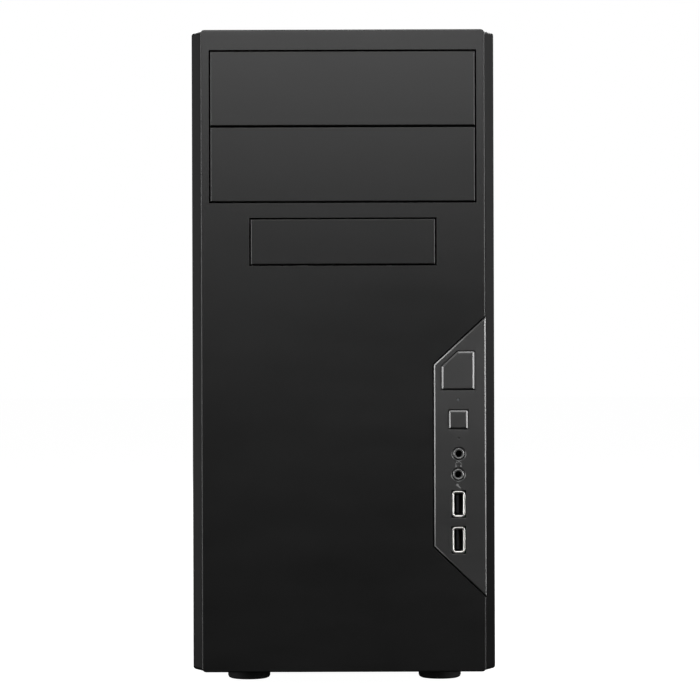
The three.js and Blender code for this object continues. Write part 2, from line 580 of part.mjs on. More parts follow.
const fanTop = PSU.z[0] + SHEET + GAP + PSU_FAN.depth;
addPart('psu_fan_frame', squareFanFrame(PSU_FAN.size, PSU_FAN.depth, PSU_FAN.hub), 'mattBlackPlastic',
  [0, PSU_FAN.y, fanTop], FACING_DOWN);
const psuRotor = fanRotor(PSU_FAN.hub, PSU_FAN.tip, PSU_FAN.depth - rotorStart, 9);
addPart('psu_fan_rotor', psuRotor, 'mattBlackPlastic', [0, PSU_FAN.y, fanTop - rotorStart], FACING_DOWN);
const GUARD = { rings: [20, 38.5, 57], wire: 1.6, bottom: PSU.z[0] - GAP - 3.2 };
const guardSpokes = [0, 1].map((i) => toSolid(
  new THREE.BoxGeometry(2 * GUARD.rings.at(-1), GUARD.wire, GUARD.wire)
    .translate(0, 0, GUARD.bottom + 1.5 * GUARD.wire - LAP)
    .rotateZ(Math.PI / 4 + (i * Math.PI) / 2)));
addPart('psu_fan_guard', join(
  GUARD.rings.map((radius) =>
    ring(radius - GUARD.wire, radius, GUARD.bottom, GUARD.bottom + GUARD.wire, 16)),
  guardSpokes,
), 'brightSteel', [0, PSU_FAN.y, 0]);

const psuBoard = fanTop + 4;
const PSU_PARTS = {
  transformer: { x: [-14, 22], y: [80, 118], height: 34 },
  inductor: { x: [30, 52], y: [60, 84], height: 22 },
  capacitor: { x: [-52, -26], y: [70, 96], height: 40 },
  hotHeatsink: { x: [-60, 20], y: [124, 128], height: 46 },
  coldHeatsink: { x: [-10, 62], y: [46, 50], height: 46 },
};
const PSU_BOARD = { x: [-70, 70], y: [38, 145], thick: 1.6 };
addPart('psu_circuit_board', join(
  block(PSU_BOARD.x, PSU_BOARD.y, [psuBoard, psuBoard + PSU_BOARD.thick]),
  Object.values(PSU_PARTS).map(({ x, y, height }) => block(x, y, [psuBoard, psuBoard + height])),
), 'circuitBoard');

const plateY = [REAR_WALL, REAR_WALL + 1.4];
const inletBody = ({ x, z, depth }) =>
  block(widened(x, -GAP), [plateY[0] - depth, plateY[0] + LAP], widened(z, -GAP));
const well = ({ x, z }, wall, depth) =>
  block(widened(x, -wall), [plateY[0] - depth, plateY[1] + 1], widened(z, -wall));
const WELL_DEPTH = { inlet: 16, switch: 12 };
const PINS = { places: [[-49, 333], [-56, 326], [-42, 326]], half: [1, 2], recess: 1 };
addPart('mains_inlet', join(
  cut(
    join(
      block(INLET_PLATE.x, plateY, INLET_PLATE.z),
      inletBody(INLET),
      inletBody(SWITCH),
    ),
    well(INLET, INLET.well, WELL_DEPTH.inlet),
    well(SWITCH, SWITCH.well, WELL_DEPTH.switch),
  ),
  PINS.places.map(([x, z]) => block(
    around(x, PINS.half[0]),
    [plateY[0] - WELL_DEPTH.inlet - LAP, plateY[0] - PINS.recess],
    around(z, PINS.half[1]),
  )),
), 'mattBlackPlastic');

// The rocker is set with its lower half pressed in; it turns about the axis through its middle.
const ROCKER = { y: plateY[0] - 4, z: (SWITCH.z[0] + SWITCH.z[1]) / 2, half: 9.6, dish: 3.4, tilt: 0.19 };
const rockerSection = [
  [-5, -3], [-2, -ROCKER.half + 1.5], [4, -ROCKER.half], [ROCKER.dish, 0], [4, ROCKER.half],
  [-2, ROCKER.half - 1.5], [-5, 3],
];
const rockerTurned = rockerSection.map(([y, z]) => [
  ROCKER.y + y * Math.cos(ROCKER.tilt) - z * Math.sin(ROCKER.tilt),
  ROCKER.z + y * Math.sin(ROCKER.tilt) + z * Math.cos(ROCKER.tilt),
]);
addPart('psu_switch', prism('x', rockerTurned, SWITCH.x[0] + 2, SWITCH.x[1] - 2), 'mattBlackPlastic');

// ---- rear port shield ----
const SHIELD_GAP = 0.5;
addPart('io_shield', cut(
  block(widened(PORT_WINDOW.x, -GAP), [REAR_WALL + 0.2, REAR_WALL + 0.9], widened(PORT_WINDOW.z, -GAP)),
  Object.values(PORTS).map(({ z, top }) =>
    block([top - SHIELD_GAP, boardFace + LAP + SHIELD_GAP], THROUGH_REAR, widened(z, SHIELD_GAP))),
), 'brightSteel');

// ---- side panels and their thumb screws ----
const HEM = 7;
const PANEL_FLANGE = { x: [77, INNER_SIDE + LAP], lip: [77, 78], top: INNER_BOTTOM + 10.4 };
const SIDE_VENT = { count: 9, half: 32, pitch: 8, height: 4 };
const REAR_FLANGE = 72;
const panelBack = [REAR_WALL + 1 + GAP, REAR_WALL + 1 + GAP + SHEET];

function sidePanel(side) {
  const slideSpan = [FRAME_FRONT + SHEET + 2 * GAP, panelBack[1]];
  const flange = (height) => [
    block(outward(side, PANEL_FLANGE.x), slideSpan, height([INNER_BOTTOM, INNER_BOTTOM + SHEET])),
    block(outward(side, PANEL_FLANGE.lip), slideSpan, height([INNER_BOTTOM, PANEL_FLANGE.top])),
  ];
  const tall = [INNER_BOTTOM, INNER_TOP];
  const hemX = [INNER_SIDE - SHEET, INNER_SIDE + LAP];
  const shell = join(
    block(outward(side, [INNER_SIDE, SIDE]), [FRAME_FRONT, panelBack[1]], tall),
    block(outward(side, hemX), [FRAME_FRONT, FRAME_FRONT + HEM], tall),
    block(outward(side, [REAR_FLANGE, SIDE - LAP]), panelBack, tall),
    flange((span) => span),
    flange(flipped),
  );
  const holes = Object.values(SCREWS.z).map((z) =>
    disc('y', [side * SCREWS.x, z], SCREWS.hole, panelBack[0] - 1, panelBack[1] + 1, 10));
  return cut(shell, holes);
}

const sideVents = range(SIDE_VENT.count).map((i) => {
  const offset = (i - (SIDE_VENT.count - 1) / 2) * SIDE_VENT.pitch;
  const reach = Math.sqrt((SIDE_VENT.half + 8) ** 2 - offset ** 2);
  const z = around(COOLER.z + offset, SIDE_VENT.height / 2);
  return block([-SIDE - 1, -INNER_SIDE + 1], around(COOLER.y, reach), z);
});
addPart('left_side_panel', cut(sidePanel(SIDES.left), sideVents), 'blackSteel');
addPart('right_side_panel', sidePanel(SIDES.right), 'blackSteel');

const thumbScrew = turned([
  [0, 0], [SCREWS.head - 0.6, 0], [SCREWS.head, 0.6], [SCREWS.head, 5.2], [SCREWS.head - 0.8, 6.1],
  [SCREWS.shank, 6.1], [SCREWS.shank, 13.8], [0, 13.8],
], 14);
for (const [sideName, side] of Object.entries(SIDES)) {
  for (const [heightName, z] of Object.entries(SCREWS.z)) {
    addPart(`thumb_screw_${sideName}_${heightName}`, thumbScrew, 'brightSteel',
      [side * SCREWS.x, REAR, z], FACING_FRONT);
  }
}

// ---- front bezel ----
// Section at any height: a raised slab, then a step back and a chamfer out to the side panels.
function bezelOutline(back) {
  const right = [
    [SIDE - 6.1, FACE], [SIDE - 5, FACE + SLAB_DEPTH], [SIDE, FACE + STRIP_DEPTH], [SIDE, back],
  ];
  return [...right, ...right.toReversed().map(([x, y]) => [-x, y])];
}

// The connection panel's outline on the front face, along the middle of the groove around it.
const PANEL_OUTLINE = [[50, 77.8], [79.85, 49.1], [79.85, 206.6], [50, 179.2]];
const PANEL_SEAT = FACE + 6.1;
const LEDGE = 2.4;
const THROUGH_FACE = [FRONT - 2, FACE + 14];
const bezelSolid = prism('z', bezelOutline(BEZEL_BACK), BASE, HEIGHT);
const hollowOutline = grow(bezelOutline(BEZEL_BACK + 2 * WALL), -WALL);
const bezelHollow = prism('z', hollowOutline, BASE + WALL, HEIGHT - WALL);
const COLLAR = 1.5;
const COLLAR_SPAN = [FACE + 1, FACE + 13];
const collars = [BAYS_525, BAY_35].map(({ x, z }) =>
  block(widened(x, COLLAR), COLLAR_SPAN, widened(z, COLLAR)));
const panelCollar = prism('y', grow(PANEL_OUTLINE, LEDGE), FACE + 1, PANEL_SEAT + 2).intersect(bezelSolid);
const CLIP_START = BEZEL_BACK - 16;
const CLIP_FOOT = BEZEL_BACK - 10;
const clipTip = INNER_FRONT + CLIP.reach;
const CLIP_BARB = [clipTip - 3, clipTip - 1.5];
const clips = [(span) => span, flipped].flatMap((height) => CLIP.x.flatMap((x) => [
  block(around(x, CLIP.half), [CLIP_START, clipTip], height(CLIP.z)),
  block(around(x, CLIP.half), [CLIP_START, CLIP_FOOT], height([CLIP.root, CLIP.z[1]])),
  block(around(x, CLIP.half), CLIP_BARB, height([CLIP.barb, CLIP.z[0] + LAP])),
]));
const BOTTOM_INTAKE = { count: 7, pitch: 14, half: 4, y: [FACE + 12, FACE + 26] };
const bottomIntake = range(BOTTOM_INTAKE.count).map((i) => {
  const x = (i - (BOTTOM_INTAKE.count - 1) / 2) * BOTTOM_INTAKE.pitch;
  return block(around(x, BOTTOM_INTAKE.half), BOTTOM_INTAKE.y, [BASE - 1, BASE + WALL + 1]);
});
addPart('front_bezel', cut(
  join(cut(bezelSolid, bezelHollow), collars, panelCollar, clips),
  [BAYS_525, BAY_35].map(({ x, z }) => block(x, THROUGH_FACE, z)),
  prism('y', grow(PANEL_OUTLINE, GROOVE / 2), FRONT - 1, PANEL_SEAT),
  prism('y', grow(PANEL_OUTLINE, -LEDGE), ...THROUGH_FACE),
  bottomIntake,
), 'satinBlackPlastic');

// ---- bay covers: shallow trays with two spring arms ----
function bayCover({ x, z }) {
  const wall = 1.6;
  const depth = [FACE, FACE + 9];
  const outer = { x: widened(x, -GROOVE), z: widened(z, -GROOVE) };
  const arms = Object.values(SIDES).map((side) => block(
    outward(side, [outer.x[1] - wall, outer.x[1]]), [FACE, FACE + 18], around((z[0] + z[1]) / 2, 6)));
  return join(cut(
    block(outer.x, depth, outer.z),
    block(widened(outer.x, -wall), [FACE + WALL, FACE + 20], widened(outer.z, -wall)),
  ), arms);
}

const bayMiddle = BAYS_525.z[0] + GROOVE / 2 + BAY_PITCH;
const COVERS = {
  upper: { x: BAYS_525.x, z: [bayMiddle - GROOVE / 2, BAYS_525.z[1]] },
  lower: { x: BAYS_525.x, z: [BAYS_525.z[0], bayMiddle + GROOVE / 2] },
  small: BAY_35,
};
for (const [coverName, opening] of Object.entries(COVERS)) {
  addPart(`bay_cover_${coverName}`, bayCover(opening), 'satinBlackPlastic');
}

// ---- connection panel, buttons and sockets ----
const PLATE_BACK = FACE + 2.6;
const TRAY_WALL = 1.4;
const POWER = {
  outline: [[54.8, 165.1], [72.9, 165.1], [72.9, 186.4], [63.6, 186.4], [54.8, 178.1]],
  x: 64,
  z: 176,
};
const RESET = { outline: rectangle([58.8, 69.2], [143.3, 153.6]), x: 64, z: 148.4 };
const LIGHT = { x: 63.9, z: 159.4, tip: 0.9, flange: 2 };
const HEADPHONE = { x: 64.2, z: 129.4 };
const MICROPHONE = { x: 63.9, z: 117.9 };
const JACK = { ring: 3.1, bore: 1.9 };
const USB = {
  x: 64,
  upper: 101.3,
  lower: 81.3,
  cutout: [4.1, 7.7],
  shell: [2.85, 6.55],
  flare: [3.75, 7.4],
};
const BUTTON_GAP = 0.3;
const POST = { x: [56.2, 72], z: 159.4, radius: 1.8 };
const SWITCH_BOARD = { x: [53, 75], y: [FACE + 14.4, FACE + 16], z: [141, 190] };
const IO_BOARD = { x: [67.5, 69.1], y: [FACE + 3, FACE + 29], z: [70, 136] };
const BOARD_RIB = { thick: 1.6, reach: 22, z: [74, 132] };
const ribStart = IO_BOARD.x[1] + GAP;
const panelPrism = (by, from, to) => prism('y', grow(PANEL_OUTLINE, by), from, to);
const throughPlate = [FACE - 1, PLATE_BACK + 1];
const usbCutout = (z) => block(around(USB.x, USB.cutout[0]), throughPlate, around(z, USB.cutout[1]));
addPart('io_panel', cut(
  join(
    cut(
      panelPrism(-GROOVE / 2, FACE, PANEL_SEAT - GAP),
      panelPrism(-GROOVE / 2 - TRAY_WALL, PLATE_BACK, PANEL_SEAT + 1),
    ),
    block([ribStart, ribStart + BOARD_RIB.thick], [PLATE_BACK - LAP, FACE + BOARD_RIB.reach], BOARD_RIB.z),
    POST.x.map((x) => disc('y', [x, POST.z], POST.radius, PLATE_BACK - LAP, SWITCH_BOARD.y[0] - GAP, 8)),
  ),
  prism('y', grow(POWER.outline, BUTTON_GAP), ...throughPlate),
  prism('y', grow(RESET.outline, BUTTON_GAP), ...throughPlate),
  disc('y', [LIGHT.x, LIGHT.z], LIGHT.tip + BUTTON_GAP, ...throughPlate, 10),
  disc('y', [HEADPHONE.x, HEADPHONE.z], JACK.ring + BUTTON_GAP, ...throughPlate, 16),
  disc('y', [MICROPHONE.x, MICROPHONE.z], JACK.ring + BUTTON_GAP, ...throughPlate, 16),
  usbCutout(USB.upper),
  usbCutout(USB.lower),
), 'mattBlackPlastic');

// A button cap with a flange that stops it coming out, and a stem that reaches its switch.
function pushButton({ outline, x, z }, flange, stem, reach) {
  const flangeFront = PLATE_BACK + 0.4;
  return join(
    prism('y', outline, FRONT, flangeFront + LAP),
    prism('y', grow(outline, flange), flangeFront, flangeFront + 1.5),
    disc('y', [x, z], stem, flangeFront + 1.5 - LAP, reach, 10),
  );
}

const STEM_END = FACE + 8;
addPart('power_button', pushButton(POWER, 1, 2.6, STEM_END), 'satinBlackPlastic');
addPart('reset_button', pushButton(RESET, 0.8, 1.9, STEM_END), 'satinBlackPlastic');
addPart('switch_board', join(
  block(SWITCH_BOARD.x, SWITCH_BOARD.y, SWITCH_BOARD.z),
  [POWER, RESET].map(({ x, z }) =>
    block(around(x, 3), [STEM_END + 2.2, SWITCH_BOARD.y[0] + LAP], around(z, 3))),
  block(around(LIGHT.x, 2.5), [STEM_END + 3, SWITCH_BOARD.y[0] + LAP], around(LIGHT.z, 2.5)),
), 'circuitBoard');
addPart('power_led', join(
  disc('y', [LIGHT.x, LIGHT.z], LIGHT.tip, FACE - 0.1, PLATE_BACK + 0.5, 10),
  disc('y', [LIGHT.x, LIGHT.z], LIGHT.flange, PLATE_BACK + GAP, PLATE_BACK + 1.6, 10),
  disc('y', [LIGHT.x, LIGHT.z], LIGHT.tip, PLATE_BACK + 1.4, STEM_END + 2.7, 10),
), 'clearPlastic');

function jack({ x, z }) {
  return cut(
    join(
      disc('y', [x, z], JACK.ring, FACE - 0.2, PLATE_BACK + GAP + LAP, 16),
      block([x - 5.2, IO_BOARD.x[0] - GAP], [PLATE_BACK + GAP, FACE + 15], around(z, 4.6)),
    ),
    disc('y', [x, z], JACK.bore, FACE - 1, FACE + 13, 12),
  );
}

addPart('headphone_jack', jack(HEADPHONE), 'mattBlackPlastic');
addPart('microphone_jack', jack(MICROPHONE), 'mattBlackPlastic');

// A socket shell stands on edge: a thin steel box with a flared mouth, closed behind, and a tongue inside.
function usbSocket(z) {
  const box = ([halfX, halfZ], y) => block(around(USB.x, halfX), y, around(z, halfZ));
  const inside = USB.shell.map((half) => half - 0.5);
  return join(
    cut(
      join(box(USB.flare, [FACE + 0.2, FACE + 1]), box(USB.shell, [FACE + 0.2, FACE + 15])),
      box(inside, [FACE - 1, FACE + 12]),
    ),
    block([USB.x - 1.6, USB.x + 0.2], [FACE + 2, FACE + 12 + LAP], around(z, 5.5)),
  );
}

addPart('usb_socket_upper', usbSocket(USB.upper), 'brightSteel');
addPart('usb_socket_lower', usbSocket(USB.lower), 'brightSteel');
addPart('front_io_board', block(IO_BOARD.x, IO_BOARD.y, IO_BOARD.z), 'circuitBoard');

// ---- cables held between their plugs ----
const PLUG_GAP = 0.4;
const atxPlug = block([36, ATX_SOCKET.top - PLUG_GAP], ATX_SOCKET.y, ATX_SOCKET.z);
const mainPowerRoute = [
  [50, 33, 284], [50, 26, 283], [50, 18, 276], [47, 11, 262],
  [39, -4, 243], [32, -16, 231], [33, -22, 225], [40, -22, 224],
];
addPart('main_power_cable', join(atxPlug, tube(mainPowerRoute, 4.5, 8, 16)), 'cableSleeve');
const cpuPlug = block([42, CPU_POWER_SOCKET.top - PLUG_GAP], CPU_POWER_SOCKET.y, CPU_POWER_SOCKET.z);
const cpuPowerRoute = [
  [58, 33, 280], [58, 27, 278], [57, 24, 270], [52, 32, 263.5],
  [44, 44, 262.5], [36, 54, 261], [35, 57, 256], [44, 57, 254],
];
addPart('processor_power_cable', join(cpuPlug, tube(cpuPowerRoute, 2.4, 8, 18)), 'cableSleeve');
const dataPlug = block([44, DATA_SOCKET.top - PLUG_GAP], [-25, -15], [66, 84]);
const driveDataPlug = block([14, 34], [DRIVE.y[1] + PLUG_GAP, DRIVE.y[1] + 16], [144, 150]);
const dataRoute = [
  [24, 19, 147], [24, 26, 146], [26, 31, 138], [32, 28, 118],
  [37, 10, 94], [38, -8, 80], [40, -18, 75], [46, -20, 75],
];
addPart('drive_data_cable', join(dataPlug, driveDataPlug, tube(dataRoute, 2, 8, 20)), 'redCable');
const drivePowerPlug = block([-22, 8], [DRIVE.y[1] + PLUG_GAP, DRIVE.y[1] + 18], [144, 152]);
const drivePowerRoute = [
  [42, 33, 280], [42, 26, 279], [38, 16, 268], [22, 16, 240],
  [4, 22, 205], [-6, 27, 172], [-8, 30, 156], [-7, 20, 149],
];
addPart('drive_power_cable', join(drivePowerPlug, tube(drivePowerRoute, 2.4, 8, 20)), 'cableSleeve');
const headerPlug = block([46, PANEL_HEADER.top - PLUG_GAP], PANEL_HEADER.y, PANEL_HEADER.z);
const frontPlug = block([60, IO_BOARD.x[0] - GAP], [IO_BOARD.y[1] - 8, IO_BOARD.y[1] - 1], [96, 114]);
const frontPanelRoute = [
  [64, -151, 105], [64, -140, 104], [64, -122, 92], [63, -96, 62],
  [60, -66, 36], [54, -40, 25], [46, -18, 22.5], [50, -6, 22.5],
];
addPart('front_panel_cable', join(headerPlug, frontPlug, tube(frontPanelRoute, 2.4, 8, 20)), 'cableSleeve');

export default tower;
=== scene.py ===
# %% [markdown]
# # A desktop computer tower
# The steel and plastic parts already exist as a fixed frame of plain solids. This lesson gives them their
# looks: the front mouldings are modelled again with soft edges, the sheet metal gets screws and rounded
# edges, and every finish gets a material that is worked out from what the real one is.

# %% Load the frame
import json
import math

import bpy
import mathutils
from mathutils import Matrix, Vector


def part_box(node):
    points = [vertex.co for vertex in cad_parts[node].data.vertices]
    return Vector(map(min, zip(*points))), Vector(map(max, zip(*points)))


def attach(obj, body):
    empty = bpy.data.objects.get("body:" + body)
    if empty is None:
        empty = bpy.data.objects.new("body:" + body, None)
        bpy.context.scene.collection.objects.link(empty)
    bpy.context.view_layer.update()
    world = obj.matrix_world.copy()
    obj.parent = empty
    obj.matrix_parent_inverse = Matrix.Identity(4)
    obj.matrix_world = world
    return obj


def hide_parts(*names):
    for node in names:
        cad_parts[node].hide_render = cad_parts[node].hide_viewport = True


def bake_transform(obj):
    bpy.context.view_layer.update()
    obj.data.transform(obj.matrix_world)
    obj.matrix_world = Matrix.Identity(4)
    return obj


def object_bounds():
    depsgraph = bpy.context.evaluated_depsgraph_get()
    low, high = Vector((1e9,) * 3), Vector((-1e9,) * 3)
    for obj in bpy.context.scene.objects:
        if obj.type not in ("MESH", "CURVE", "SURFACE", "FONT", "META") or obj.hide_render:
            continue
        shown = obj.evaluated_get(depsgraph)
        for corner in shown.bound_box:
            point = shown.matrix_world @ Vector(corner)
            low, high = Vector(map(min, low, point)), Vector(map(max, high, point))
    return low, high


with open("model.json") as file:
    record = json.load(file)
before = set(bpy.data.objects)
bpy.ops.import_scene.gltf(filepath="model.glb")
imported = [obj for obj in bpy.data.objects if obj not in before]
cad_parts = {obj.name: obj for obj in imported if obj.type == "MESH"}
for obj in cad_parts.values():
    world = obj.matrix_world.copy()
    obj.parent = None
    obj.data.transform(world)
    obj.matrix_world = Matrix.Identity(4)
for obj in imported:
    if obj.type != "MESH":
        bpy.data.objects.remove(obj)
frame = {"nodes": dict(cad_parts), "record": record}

MM = 0.001
cad_box = [list(corner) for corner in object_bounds()]
nodes = frame["nodes"]
node_body = {name: body for body, names in frame["record"]["behaviour"]["bodies"].items() for name in names}
print(len(nodes), "solids in a box", [round(b - a, 3) for a, b in zip(*cad_box)], "metres")

# %% [markdown]
# The camera stands where a product photographer puts it for a head-on picture: a metre and a half away,
# level with the middle of the tower, with a long lens so that the sides hardly show. It is a few
# millimetres off the middle and a fraction of a degree off level, as a hand-set tripod is.

# %% Camera
BUTTON_RISE = 1 * MM  # the buttons stand this far in front of the face
FOOT_HEIGHT = 8 * MM
CAMERA_DISTANCE = 1.5
CAMERA_ROLL = 0.18
front_y = cad_box[0][1] + BUTTON_RISE
middle_z = (FOOT_HEIGHT + cad_box[1][2]) / 2
bpy.ops.object.camera_add(
    location=(3.75 * MM, front_y - CAMERA_DISTANCE, middle_z + 0.4 * MM),
    rotation=(math.radians(90), math.radians(CAMERA_ROLL), 0),
)
camera = bpy.context.object
camera.name = "camera"
camera.data.lens = 138.5
camera.data.sensor_width = 36
camera.data.clip_end = 50
bpy.context.scene.camera = camera
bpy.context.scene.view_settings.view_transform = "Standard"
print("camera at", [round(v, 3) for v in camera.location])

# %% [markdown]
# Black plastic is lit by what it reflects. A soft box hangs close above and in front of the tower, so the
# face is brightest at its top and fades downwards. Two tall boxes at the sides and one above draw the
# bright lines on the chamfers, and two weak ones behind give the sloped side strips their sheen. The rear
# box is for views of the back. The floor is pale, and it is kept out of the reflections, as black card
# would do.

# %% Helper that adds one shader node
def add(tree, kind, inputs=None, **settings):
    made = tree.nodes.new(kind)
    for key, value in settings.items():
        setattr(made, key, value)
    for key, value in (inputs or {}).items():
        if isinstance(value, bpy.types.NodeSocket):
            tree.links.new(value, made.inputs[key])
        else:
            made.inputs[key].default_value = value
    return made


# %% Studio lights
def soft_box(name, place, aim, size, power):
    direction = Vector(aim) - Vector(place)
    bpy.ops.object.light_add(
        type="AREA", location=place, rotation=direction.to_track_quat("-Z", "Y").to_euler())
    light = bpy.context.object
    light.name = name
    light.data.shape = "RECTANGLE"
    light.data.size, light.data.size_y = size
    light.data.energy = power
    return light


soft_box("overhead_box", (0, -0.831, 0.627), (0, -0.15, 0.215), (0.81, 0.44), 3.9)
soft_box("left_box", (-1.3, -0.75, 0.3), (0, -0.15, 0.2), (0.35, 1.1), 18)
soft_box("right_box", (1.3, -0.75, 0.36), (0, -0.15, 0.2), (0.35, 1.0), 19)
soft_box("top_box", (0, -0.75, 1.55), (0, -0.15, 0.3), (0.8, 0.35), 6)
soft_box("left_rear_box", (-1.25, 0.7, 0.3), (0, 0, 0.2), (1.0, 1.0), 0.7)
soft_box("right_rear_box", (1.25, 0.7, 0.55), (0, 0, 0.25), (1.0, 0.9), 0.8)
soft_box("rear_box", (0.2, 1.6, 1.2), (0, 0.1, 0.2), (1.6, 1.0), 30)

# %% World and floor
world = bpy.data.worlds.new("studio")
bpy.context.scene.world = world
world.use_nodes = True
tree = world.node_tree
tree.nodes.clear()
lit = add(tree, "ShaderNodeBackground", {"Color": (1, 1, 1, 1), "Strength": 0.008})
seen = add(tree, "ShaderNodeBackground", {"Color": (1, 1, 1, 1), "Strength": 1.0})
ray = add(tree, "ShaderNodeLightPath")
mix = add(tree, "ShaderNodeMixShader", {
    0: ray.outputs["Is Camera Ray"], 1: lit.outputs[0], 2: seen.outputs[0]})
add(tree, "ShaderNodeOutputWorld", {"Surface": mix.outputs[0]})

bpy.ops.mesh.primitive_circle_add(vertices=96, radius=9, fill_type="NGON", location=(0, 0, 0))
floor = bpy.context.object
floor.name = "floor"
paper = bpy.data.materials.new("white_paper_floor")
paper.use_nodes = True
tree = paper.node_tree
tree.nodes.clear()
matt = add(tree, "ShaderNodeBsdfDiffuse", {"Color": (0.3, 0.3, 0.3, 1)})
glow = add(tree, "ShaderNodeEmission", {"Color": (1, 1, 1, 1), "Strength": 0.99})
both = add(tree, "ShaderNodeAddShader", {0: matt.outputs[0], 1: glow.outputs[0]})
add(tree, "ShaderNodeOutputMaterial", {"Surface": both.outputs[0]})
floor.data.materials.append(paper)
floor.visible_glossy = False
floor.visible_diffuse = False
print("lights and floor are set")

# %% [markdown]
# ## Finishes
# Each finish starts from the real material. Colours are sRGB hex values, as a paint chart gives them, and
# one function turns them into the linear values that the shader works in.

# %% Colour helper
def colour(hex_value):
    channels = [int(hex_value[i:i + 2], 16) / 255 for i in (1, 3, 5)]
    linear = [c / 12.92 if c <= 0.04045 else ((c + 0.055) / 1.055) ** 2.4 for c in channels]
    return (*linear, 1)


def new_material(name):
    made = bpy.data.materials.new(name)
    made.use_nodes = True
    made.node_tree.nodes.clear()
    return made, made.node_tree


# %% [markdown]
# Moulded ABS: the mould is spark-eroded, which leaves a skin of tiny pits 0.2 to 0.4 mm apart. The pits
# break up reflections, so the gloss is satin. The plastic flowed sideways as it filled the mould, which
# leaves a faint, uneven streaking in the gloss, from 50 mm down to half a millimetre. Rubber, cable
# sleeves and paint are made the same way: they differ in colour, in gloss and in how coarse and deep
# their grain is.

# %% Plastics, rubber and paint
def moulded(name, hex_value, roughness, grain_mm=0.35, depth_mm=0.01, specular=0.5):
    made, tree = new_material(name)
    place = add(tree, "ShaderNodeTexCoord")
    pits = add(tree, "ShaderNodeTexNoise", {
        "Vector": place.outputs["Object"], "Scale": 1 / (grain_mm * MM), "Detail": 2, "Roughness": 0.6})
    wide = add(tree, "ShaderNodeMapping", {"Vector": place.outputs["Object"], "Scale": (0.3, 1, 1)})
    wear = add(tree, "ShaderNodeTexNoise", {
        "Vector": wide.outputs["Vector"], "Scale": 1 / (50 * MM), "Detail": 8, "Roughness": 0.72})
    gloss = add(tree, "ShaderNodeMapRange", {
        "Value": wear.outputs["Fac"], "From Min": 0.3, "From Max": 0.7,
        "To Min": roughness - 0.035, "To Max": roughness + 0.035})
    base = Vector(colour(hex_value)[:3])
    tint = add(tree, "ShaderNodeMix", {
        "Factor": pits.outputs["Fac"], "A": (*(base * 0.55), 1), "B": (*(base * 1.45), 1)},
        data_type="RGBA")
    bump = add(tree, "ShaderNodeBump", {
        "Height": pits.outputs["Fac"], "Distance": depth_mm * MM, "Strength": 1.0})
    skin = add(tree, "ShaderNodeBsdfPrincipled", {
        "Base Color": tint.outputs["Result"], "Roughness": gloss.outputs["Result"],
        "Normal": bump.outputs["Normal"], "IOR": 1.53, "Specular IOR Level": specular})
    add(tree, "ShaderNodeOutputMaterial", {"Surface": skin.outputs[0]})
    return made


satin_abs = moulded("satin_black_abs", "#020202", 0.41)  # front mouldings, spark-eroded finish
panel_lacquer = moulded("metallic_black_lacquer", "#060606", 0.41, specular=1.35)  # flakes add gloss
socket_plastic = moulded("black_pbt_socket", "#0b0b0b", 0.4, 0.2, 0.004)  # glass-filled PBT of the sockets
fan_plastic = moulded("black_pbt_fan", "#0f0f10", 0.38, 0.6, 0.006)  # fan frames and rotors
jack_ring = moulded("dull_grey_ring", "#505050", 0.38, 0.2, 0.002, 0.8)  # metallised ring round a jack
latch_nylon = moulded("natural_nylon", "#d8d4c6", 0.45, 0.3, 0.004)  # latches and plug sockets
grey_nylon = moulded("black_nylon_tongue", "#16161a", 0.45, 0.2, 0.004)  # the tongue inside a USB socket
foot_rubber = moulded("black_rubber", "#101010", 0.75, 0.5, 0.03)  # moulded feet
cable_sleeve = moulded("black_pvc_sleeve", "#0d0d0d", 0.5, 1.2, 0.05)  # PVC jackets and their plugs
red_sleeve = moulded("red_pvc_sleeve", "#8c1712", 0.4, 1.2, 0.03)  # the flat data cable is usually red
powder_coat = moulded("black_powder_coat", "#0a0a0b", 0.48, 0.9, 0.03)  # baked powder: a fine orange peel
icon_ink = moulded("pale_grey_pad_print", "#6c6c6c", 0.5, 0.2, 0.001)  # printed symbols beside the jacks
print("made the plastics and the paint")

# %% [markdown]
# Sheet metal: the case is hot-dip galvanised steel, whose zinc grows crystals some 5 mm wide that each
# reflect a little differently. Nickel plate and the supply's brushed cover are smoother. Fine scratches
# run one way, along the direction in which the strip was rolled.

# %% Metals
def metal(name, hex_value, roughness, crystal_mm, contrast, streak=(1, 1, 1), depth_mm=0.004):
    made, tree = new_material(name)
    place = add(tree, "ShaderNodeTexCoord")
    crystals = add(tree, "ShaderNodeTexVoronoi", {
        "Vector": place.outputs["Object"], "Scale": 1 / (crystal_mm * MM), "Randomness": 1.0})
    level = add(tree, "ShaderNodeSeparateColor", {"Color": crystals.outputs["Color"]})
    base = Vector(colour(hex_value)[:3])
    tint = add(tree, "ShaderNodeMix", {
        "Factor": level.outputs["Red"], "A": (*(base * (1 - contrast)), 1),
        "B": (*(base * (1 + contrast)), 1)}, data_type="RGBA")
    gloss = add(tree, "ShaderNodeMapRange", {
        "Value": level.outputs["Green"], "To Min": roughness - 0.4 * contrast,
        "To Max": roughness + 0.4 * contrast})
    along = add(tree, "ShaderNodeMapping", {"Vector": place.outputs["Object"], "Scale": streak})
    scratches = add(tree, "ShaderNodeTexNoise", {
        "Vector": along.outputs["Vector"], "Scale": 1 / (1.5 * MM), "Detail": 4})
    bump = add(tree, "ShaderNodeBump", {
        "Height": scratches.outputs["Fac"], "Distance": depth_mm * MM, "Strength": 1.0})
    skin = add(tree, "ShaderNodeBsdfPrincipled", {
        "Base Color": tint.outputs["Result"], "Roughness": gloss.outputs["Result"], "Metallic": 1.0,
        "Normal": bump.outputs["Normal"]})
    add(tree, "ShaderNodeOutputMaterial", {"Surface": skin.outputs[0]})
    return made


